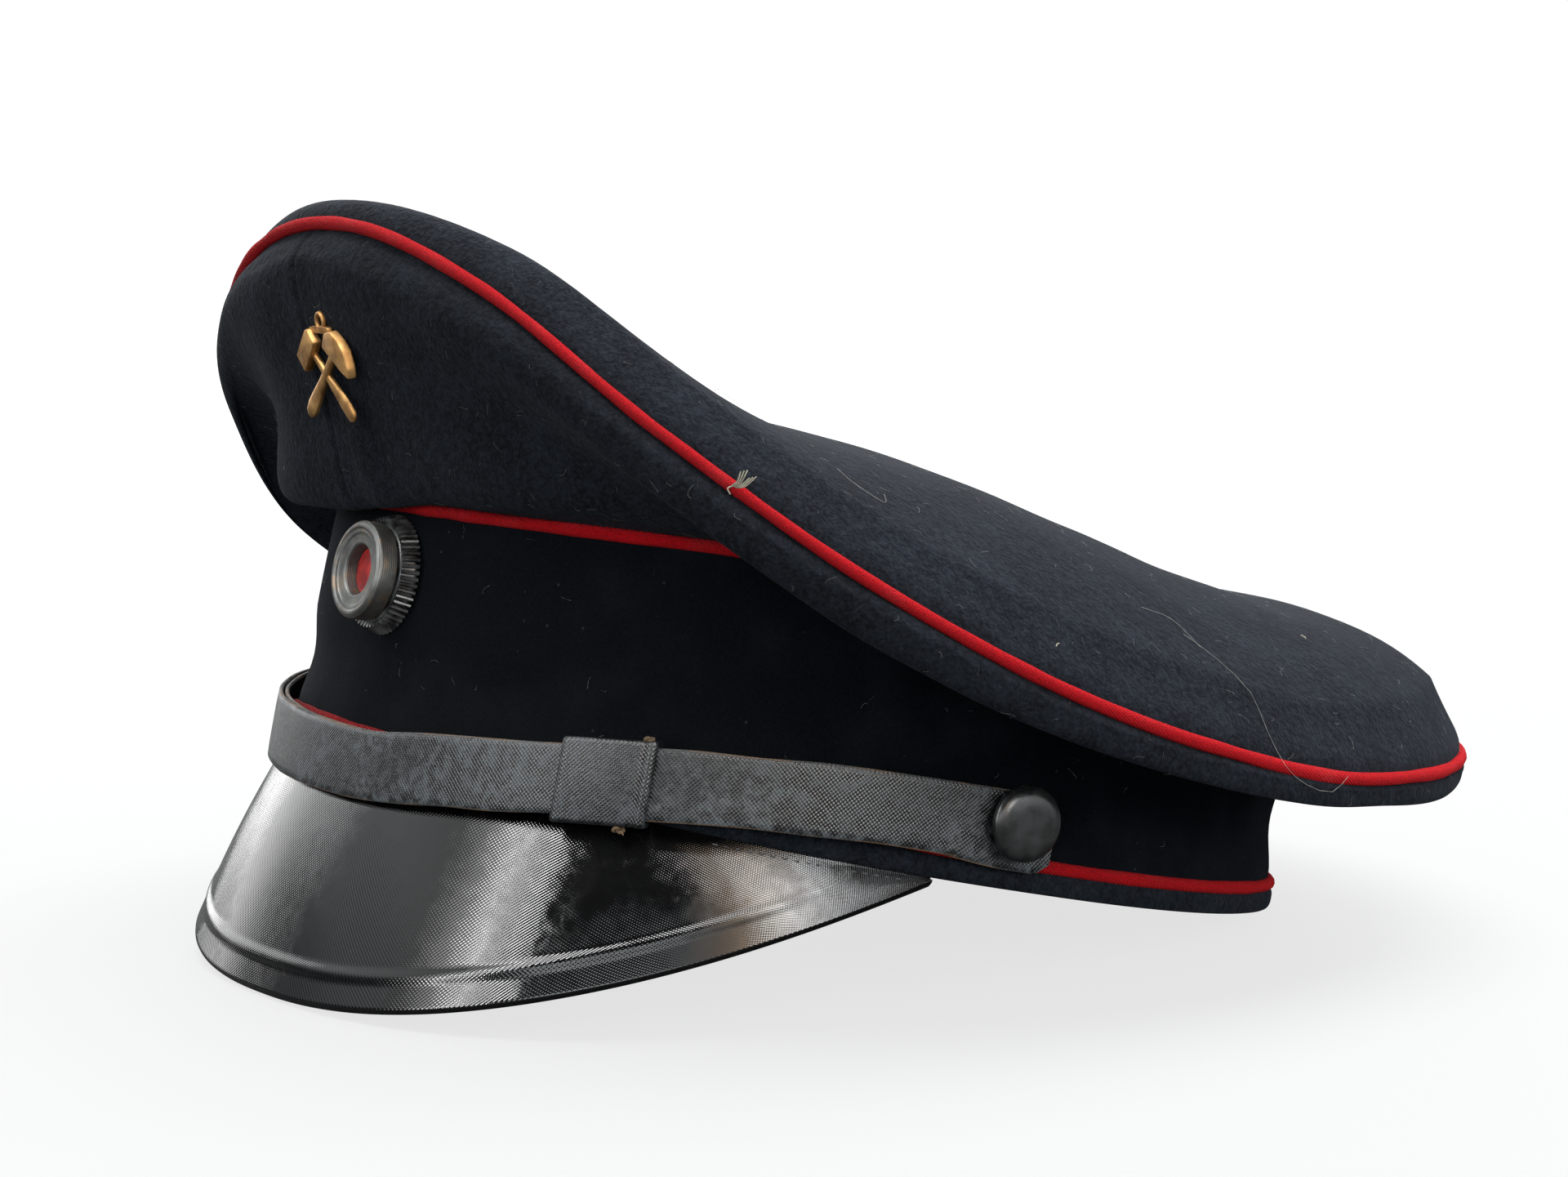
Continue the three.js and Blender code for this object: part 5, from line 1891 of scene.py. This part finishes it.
@dataclass
class HammersBadge:
    """Crossed mallet and pick in cast brass, their heads joined by a bar that holds a small loop."""

    crown: Crown
    make: Maker
    finishes: Finishes
    share: float = 0.432
    stand: float = 1.2
    pitch: float = 7.0
    lean: float = 95.0
    thickness: float = 1.1
    rise: float = 0.4
    handle_length: float = 18.6
    crossing: float = 11.75
    head_width: float = 8.2
    head_height: float = 4.0
    bar_half_length: float = 3.8
    bar_half_height: float = 0.55
    bar_place: float = 8.3
    loop_radius: float = 1.3
    loop_wire: float = 0.5
    loop_place: float = 9.9

    def slab(self, outline: Array, low: float, high: float, ease: float) -> Shell:
        """A flat casting with eased edges, its face towards +Z.

        Args:
            outline: its outline in the badge's plane.
            low: its back.
            high: its face.
            ease: how far its edges are rounded.

        Returns:
            The casting.
        """
        centre = outline.mean(0)
        inward = unit(centre - outline)
        levels = ((low, ease), (low + ease, 0.0), (high - ease, 0.0), (high - ease * 0.3, ease * 0.45),
                  (high, ease))
        flat = np.ones((len(outline), 1))
        rings = np.stack([np.hstack([outline + inward * inset, z * flat]) for z, inset in levels])
        return Shell.loft(rings, looped=False)

    def handle(self, high: float) -> Shell:
        """A handle that swells towards its rounded foot."""
        lengths = np.array([0.0, 0.25, 0.9, 2.4, 5.0, 8.0, 11.0, 15.0, self.handle_length])
        widths = np.array([0.35, 0.95, 1.4, 1.62, 1.5, 1.15, 0.85, 0.75, 0.75])
        heights = np.array([0.35, 0.75, 0.95, 1.0, 1.0, 1.0, 1.0, 1.0, 1.0])
        turn = circle(14)
        x = np.sign(np.cos(turn)) * np.abs(np.cos(turn)) ** 0.75
        z = np.sign(np.sin(turn)) * np.abs(np.sin(turn)) ** 0.75
        y = np.repeat(lengths[:, None], len(turn), 1)
        rings = np.stack([widths[:, None] * x, y, high / 2 * (1 + heights[:, None] * z)], -1)
        return Shell.loft(rings, looped=False)

    def head(self, pick: bool) -> Shell:
        """A hammer's head: the mallet's block, or the pick, with an arched back and a point."""
        half = self.head_width / 2
        foot = self.handle_length - self.head_height / 2
        top = foot + self.head_height
        if pick:
            corners = [(1.2 - half, foot + 0.1), (half * 0.3, foot + 1.0), (half, foot + 1.6),
                       (half + 3.3, foot + 2.9), (half + 2.0, top + 0.5), (half - 0.9, top + 2.0),
                       (0.5, top + 2.0), (1.6 - half, top + 1.0), (0.3 - half, foot + 2.8)]
        else:
            corners = [(-half, foot), (half - 0.3, foot), (half, top - 0.6), (half - 0.8, top),
                       (0.5 - half, top)]
        outline = filleted(corners, 0.45, 3, closed=True)
        return self.slab(outline, 0.0, self.thickness + 2 * self.rise, 0.3)

    def hammer(self, pick: bool, side: Side) -> Shell:
        """One hammer, leaning to its side."""
        high = self.thickness + (self.rise if pick else 0.0)
        turn = Matrix.Rotation(side.value * math.radians(self.lean / 2), 4, "Z")
        place = turn @ Matrix.Translation((0.0, -self.crossing, 0.0))
        return Shell.joined([self.handle(high), self.head(pick)]).moved(place)

    def bar(self) -> Shell:
        """The bar between the two heads."""
        x, middle, half = self.bar_half_length, self.bar_place, self.bar_half_height
        corners = [(-x, middle - half), (x, middle - half), (x, middle + half), (1.2, middle + 1.5 * half),
                   (-0.6, middle + 1.5 * half), (-x, middle + half)]
        return self.slab(filleted(corners, 0.3, 3, closed=True), 0.0, self.thickness, 0.25)

    def loop(self) -> Shell:
        """The wire loop on the bar."""
        turn = circle(28)
        path = np.stack([
            0.3 + self.loop_radius * np.cos(turn), self.loop_place + self.loop_radius * 1.15 * np.sin(turn),
            np.full_like(turn, self.thickness / 2),
        ], -1)
        return tube(path, self.loop_wire, 8, closed=True)

    def build(self) -> list[Object]:
        """Makes the badge where its node is."""
        front = np.array([0.0])
        step = 0.05
        shares = self.share + np.array([-step, 0.0, step])
        low, seat, high = self.crown.quarter_points(front, shares)[0]
        across = Vector((1.0, 0.0, 0.0))
        up = Matrix.Rotation(-math.radians(self.pitch), 3, "X") @ Vector(high - low).normalized()
        out = across.cross(up).normalized()
        turn = Matrix((across, up, out)).transposed().to_4x4()
        place = Matrix.Translation(Vector(seat) + out * self.stand) @ turn
        hammers = [self.hammer(False, Side.LEFT), self.hammer(True, Side.RIGHT)]
        shell = Shell.joined([*hammers, self.bar(), self.loop()])
        thing = self.make.mesh_object("crossed_hammers", shell.moved(place), 35.0)
        return [self.make.piece(thing, Slot.BRASS, self.finishes.brass, ["hammers_badge"])]


# Stray fibres


@dataclass
class Lint:
    """Pale fibres that cling to the cloth, scattered by Geometry Nodes."""

    crown: Crown
    make: Maker
    finishes: Finishes
    density: float = 15000.0
    length: float = 1.9
    radius: float = 0.018
    seed: int = 5

    def scatter(self, cloth: Object, name: str, slot: Slot, density: float, seed: int) -> Object:
        """Scatters fibres over a piece of cloth.

        Args:
            cloth: the piece that they lie on.
            name: the new piece's name.
            slot: passed on to the maker's piece, which does not use it.
            density: fibres for each square metre.
            seed: picks the pattern.

        Returns:
            The fibres.
        """
        thing = linked("cloth_copy", cloth.data.copy())
        sizes = {"Density": density, "Length": self.length * MM, "Radius": self.radius * MM}
        nodes = NodeTree(name, sizes, self.finishes.lint)
        spread = nodes.node("GeometryNodeDistributePointsOnFaces", None, {
            "Mesh": nodes.given("Geometry"), "Density": nodes.given("Density"), "Seed": seed})
        bends = ((0.25, 0.5, 0.18), (-0.45, 0.5, 0.1), (0.7, 0.25, 0.12))
        fibres = [self.fibre(nodes, bend) for bend in bends]
        variants = nodes.made("GeometryNodeJoinGeometry", None, {0: fibres})
        pick = nodes.made("FunctionNodeRandomValue", {"data_type": "INT"}, {4: 0, 5: 2, "Seed": seed + 1}, 2)
        spin = nodes.made("FunctionNodeRandomValue", {"data_type": "FLOAT_VECTOR"}, {
            0: (-0.25, -0.25, 0.0), 1: (0.25, 0.25, 2 * math.pi), "Seed": seed + 2})
        turn = nodes.made("FunctionNodeRotateRotation", {"rotation_space": "LOCAL"}, {
            "Rotation": spread.outputs["Rotation"], "Rotate By": spin})
        size = nodes.made("FunctionNodeRandomValue", {"data_type": "FLOAT_VECTOR"}, {
            0: (0.35, 0.35, 0.35), 1: (1.5, 1.5, 0.9), "Seed": seed + 3})
        hairs = nodes.made("GeometryNodeInstanceOnPoints", None, {
            "Points": spread.outputs["Points"], "Instance": variants, "Pick Instance": True,
            "Instance Index": pick, "Rotation": turn, "Scale": size})
        return self.make.piece(nodes.bake(thing, hairs, name), slot)

    def fibre(self, nodes: NodeTree, bend: tuple[float, float, float]) -> NodeSocket:
        """One bent fibre, as an instance.

        Args:
            nodes: the tree.
            bend: where its middle lies, as shares of its length.

        Returns:
            The fibre.
        """
        unit_curve = nodes.made("GeometryNodeCurveQuadraticBezier", None, {
            "Resolution": 5, "Start": (-0.5, 0.0, 0.02), "Middle": bend, "End": (0.5, 0.1, 0.05)})
        length = nodes.given("Length")
        scale = nodes.made("ShaderNodeCombineXYZ", None, {0: length, 1: length, 2: length})
        scaled = nodes.made("GeometryNodeTransform", None, {"Geometry": unit_curve, "Scale": scale})
        round_wire = nodes.made("GeometryNodeCurvePrimitiveCircle", None, {
            "Resolution": 3, "Radius": nodes.given("Radius")})
        wire = nodes.made("GeometryNodeCurveToMesh", None, {
            "Curve": scaled, "Profile Curve": round_wire, "Fill Caps": True})
        return nodes.made("GeometryNodeGeometryToInstance", None, {0: wire})

    def build(self, crown: Sequence[Object], band: Object) -> list[Object]:
        """Scatters fibres over the crown's sides and top, and over the band."""
        sides, top = crown
        return [
            self.scatter(sides, "lint_on_sides", Slot.FELT, self.density * 0.6, self.seed),
            self.scatter(top, "lint_on_top", Slot.FELT, self.density, self.seed + 10),
            self.scatter(band, "lint_on_band", Slot.VELVET, self.density * 0.25, self.seed + 20),
            *self.strays(),
        ]

    def strays(self) -> list[Object]:
        """The single fibres that stand out on the near side: a tuft of straw, and long hairs."""
        edge = self.crown.shape.crown_edge

        def above(angle: float, share: float, lift: float = 0.12) -> Array:
            """A point just over the crown's top."""
            return self.crown.top_points(np.array([angle]), np.array([share]))[0, 0] + (0.0, 0.0, lift)

        def beside(angle: float, out: float, height: float) -> Array:
            """A point beside the crown seam."""
            return edge.beside(angle, out, float(self.crown.column("piping", angle)) + height)

        fray = [[beside(47.1 + 0.06 * k, 1.45, 0.3), beside(47.5 + 0.13 * k, 1.85 - 0.1 * k, 1.5),
                 beside(47.6 + 0.27 * k, 1.6 - 0.08 * k, 3.3 + 0.5 * (k % 3))] for k in range(6)]
        straws = (
            *fray,
            [beside(47.2, 1.5, 0.3), beside(46.8, 1.9, -0.7), beside(47.1, 1.8, -1.3)],
            [above(76.5, 0.975), above(76.6, 0.972), above(76.8, 0.970)],
            [above(116.0, 0.80), above(116.3, 0.797), above(116.2, 0.79)],
        )
        hairs = (
            [above(91, 0.87, 0.4), above(93, 0.91, 0.8), above(95, 0.95, 0.9), above(95.5, 0.985, 0.8),
             beside(96.5, 1.5, 0.3), beside(99.0, 2.0, -2.2), beside(102.0, 2.4, -2.6),
             beside(104.0, 1.9, 0.6)],
            [above(88, 0.84, 0.3), above(90.5, 0.85, 0.9), above(92, 0.89, 0.5)],
            [above(40, 0.80, 0.3), above(41, 0.83, 0.9), above(43, 0.83, 0.6), above(43, 0.80, 0.2)],
            [above(55, 0.86, 0.3), above(57, 0.90, 1.0), above(60, 0.90, 0.8), above(60, 0.86, 0.3)],
        )
        kinds = (("straw_tuft", straws, 0.13, self.finishes.straw),
                 ("long_hairs", hairs, 0.035, self.finishes.lint))
        made = []
        for name, paths, radius, material in kinds:
            threads = [tube(spline(np.array(path), np.linspace(0, 1, 15)), radius, 5) for path in paths]
            thing = self.make.mesh_object(name, Shell.joined(threads))
            made.append(self.make.piece(thing, Slot.FELT, material))
        return made


# Studio


@dataclass(frozen=True)
class Softbox:
    """A flat light that faces the cap, placed by its direction from it. Some show in gloss alone."""

    name: str
    azimuth: float
    elevation: float
    distance: float
    width: float
    height: float
    radiance: float
    tint: Colour = (1.0, 1.0, 1.0)
    gloss_only: bool = False


SOFTBOXES = (
    Softbox("overhead", 205.0, 76.0, 1.6, 1.9, 1.9, 4.6, (0.96, 0.98, 1.0)),
    Softbox("white_wall", -52.0, 32.0, 2.2, 2.4, 1.7, 0.4, (0.92, 0.97, 1.0)),
    Softbox("rear_fill", 190.0, 35.0, 2.0, 1.6, 1.2, 1.2),
    Softbox("low_fill", 42.0, 15.0, 2.2, 2.2, 0.7, 4.4, (0.92, 0.97, 1.0)),
    Softbox("pale_wall", -42.0, 40.0, 2.2, 2.4, 1.6, 0.6, gloss_only=True),
    Softbox("side_fill", 125.0, 14.0, 2.0, 1.6, 1.0, 4.4, (0.94, 0.98, 1.0)),
    Softbox("sky", 30.0, 74.0, 1.8, 1.5, 0.5, 15.0, gloss_only=True),
    Softbox("bright_wall", -111.0, 17.0, 2.2, 1.8, 1.3, 5.0, gloss_only=True),
    Softbox("bright_wall_end", -80.0, 17.0, 2.2, 0.9, 1.3, 2.6, gloss_only=True),
    Softbox("strip", -1.7, 32.0, 1.8, 0.12, 2.0, 30.0, gloss_only=True),
    Softbox("strip_side", -9.0, 32.0, 1.8, 0.36, 2.0, 5.5, gloss_only=True),
    Softbox("window", 91.5, 38.0, 1.9, 0.34, 2.0, 24.0, (0.97, 0.99, 1.0), True),
    Softbox("warm_window", 78.5, 38.0, 1.9, 0.46, 2.0, 5.5, (1.0, 0.76, 0.56), True),
    Softbox("far_window", 108.0, 38.0, 1.9, 0.5, 2.0, 2.0, gloss_only=True),
)


@dataclass
class Studio:
    """A pale floor, soft lights and the camera."""

    azimuth: float = 57.0736
    elevation: float = 6.8018
    roll: float = -0.6408
    distance: float = 0.88
    lens: float = 101.85
    target: tuple[float, float, float] = (-0.0058, -0.00343, 0.06608)
    aim: tuple[float, float, float] = (0.0, 0.0, 0.06)
    floor_half: float = 6.0
    floor_shade: float = 0.11
    floor_glow: float = 0.74
    room_glow: float = 0.12

    def direction(self, azimuth: float, elevation: float) -> Vector:
        """The way from the cap to something at an azimuth and elevation."""
        a, e = math.radians(azimuth), math.radians(elevation)
        return Vector((math.sin(a) * math.cos(e), -math.cos(a) * math.cos(e), math.sin(e)))

    def camera(self) -> None:
        """Sets the camera at the photograph's angle."""
        data = bpy.data.cameras.new("camera")
        data.lens = self.lens
        data.sensor_width = 36.0
        data.clip_start = 0.01
        thing = linked("camera", data)
        back = self.direction(self.azimuth, self.elevation)
        a = math.radians(self.azimuth)
        level = Vector((math.cos(a), math.sin(a), 0.0))
        upright = back.cross(level)
        r = math.radians(self.roll)
        right = level * math.cos(r) + upright * math.sin(r)
        up = upright * math.cos(r) - level * math.sin(r)
        turn = Matrix((right, up, back)).transposed().to_4x4()
        thing.matrix_world = Matrix.Translation(Vector(self.target) + back * self.distance) @ turn
        bpy.context.scene.camera = thing

    def lights(self) -> None:
        """Sets the soft lights."""
        for box in SOFTBOXES:
            data = bpy.data.lights.new(box.name, "AREA")
            data.shape = "RECTANGLE"
            data.size = box.width
            data.size_y = box.height
            data.energy = box.radiance * math.pi * box.width * box.height
            data.color = box.tint
            thing = linked(box.name, data)
            thing.visible_camera = False
            thing.visible_diffuse = not box.gloss_only
            way = self.direction(box.azimuth, box.elevation)
            thing.matrix_world = Matrix.Translation(Vector(self.aim) + way * box.distance) @ (
                way.to_track_quat("Z", "Y").to_matrix().to_4x4())

    def surroundings(self) -> None:
        """A room that is white behind the cap and dim in what the cap reflects."""
        world = bpy.data.worlds.new("room")
        bpy.context.scene.world = world
        world.use_nodes = True
        graph = Graph(world.node_tree)
        dim = graph.node("ShaderNodeBackground", None, {
            "Color": (0.93, 0.96, 1.0), "Strength": self.room_glow})
        white = graph.node("ShaderNodeBackground", None, {"Color": (1.0, 1.0, 1.0)})
        seen = graph.node("ShaderNodeLightPath").outputs["Is Camera Ray"]
        room = graph.node("ShaderNodeMixShader", None, {0: seen, 1: dim.outputs[0], 2: white.outputs[0]})
        graph.node("ShaderNodeOutputWorld", None, {"Surface": room.outputs[0]})

    def floor(self) -> None:
        """The pale floor."""
        half = self.floor_half
        mesh = bpy.data.meshes.new("floor")
        corners = [(-half, -half, 0), (half, -half, 0), (half, half, 0), (-half, half, 0)]
        mesh.from_pydata(corners, [], [(0, 1, 2, 3)])
        thing = linked("floor", mesh)
        make = Finishing("pale_floor", Roughness=0.95, Specular_IOR_Level=0.1, Emission_Strength=1.0)
        seen = make.shade("ShaderNodeLightPath", output="Is Camera Ray")
        place = make.places.outputs["Object"]
        away = make.shade("ShaderNodeVectorMath", {"operation": "LENGTH"}, {0: place}, 1)
        glow = seen * (self.floor_glow + away.rise(0.3, 1.3) * (1 - self.floor_glow))
        make.finish(Base_Color=(self.floor_shade,) * 3, Emission_Color=glow)
        mesh.materials.append(make.material)

    def build(self) -> None:
        """Sets the stage."""
        self.camera()
        self.lights()
        self.surroundings()
        self.floor()
        bpy.context.scene.view_settings.view_transform = "Standard"


def resting_pose(shape: CapShape, peak: Peak, band: Band, crown_table: Array) -> tuple[CapPose, float]:
    """Finds how the cap lies on its peak's edge and the back of its welt.

    Args:
        shape: the cap's sizes.
        peak: the peak.
        band: the band.
        crown_table: heights of the crown seam round the head.

    Returns:
        The pose, and the surface's height in the tilted measure.
    """
    edge = peak.points(np.array(0.0), np.array(peak.reach), peak.thickness)
    rear = shape.band_foot.beside(180.0, band.welt_foot, shape.rim_height(180.0) + band.welt_squash)
    angles = np.arange(0.0, TURN, TURN / 60)
    turn = circle(6)
    ring = shape.crown_edge.beside(angles[:, None], shape.piping_radius * np.cos(turn),
                                   crown_table[:, None] + shape.piping_radius * np.sin(turn))
    pose = CapPose.at_rest(edge, rear, "crown_piping", ring)
    floor_height = edge[2] * math.cos(pose.tilt) - edge[1] * math.sin(pose.tilt)
    return pose, floor_height


def main() -> None:
    """Builds the cap and its stage."""
    logging.basicConfig(level=logging.INFO, format="%(name)s %(message)s")
    shape = CapShape()
    peak = Peak(shape)
    make = Maker(CapPose(0.0, (0.0, 0.0, 0.0)))
    finishes = Finishes()
    crown = Crown(shape, make, finishes)
    band = Band(shape, make, finishes)
    seam = crown.column("piping", np.arange(0.0, TURN, TURN / 60))
    make.pose, floor_height = resting_pose(shape, peak, band, seam)
    cloth = crown.build()
    walls = band.build(floor_height)
    peak.build(make, finishes)
    ChinStrap(shape, make, finishes).build()
    Cockade(shape, make, finishes).build()
    HammersBadge(crown, make, finishes).build()
    Lint(crown, make, finishes).build(cloth, walls[0])
    Studio().build()


if __name__ == "__main__":
    main()
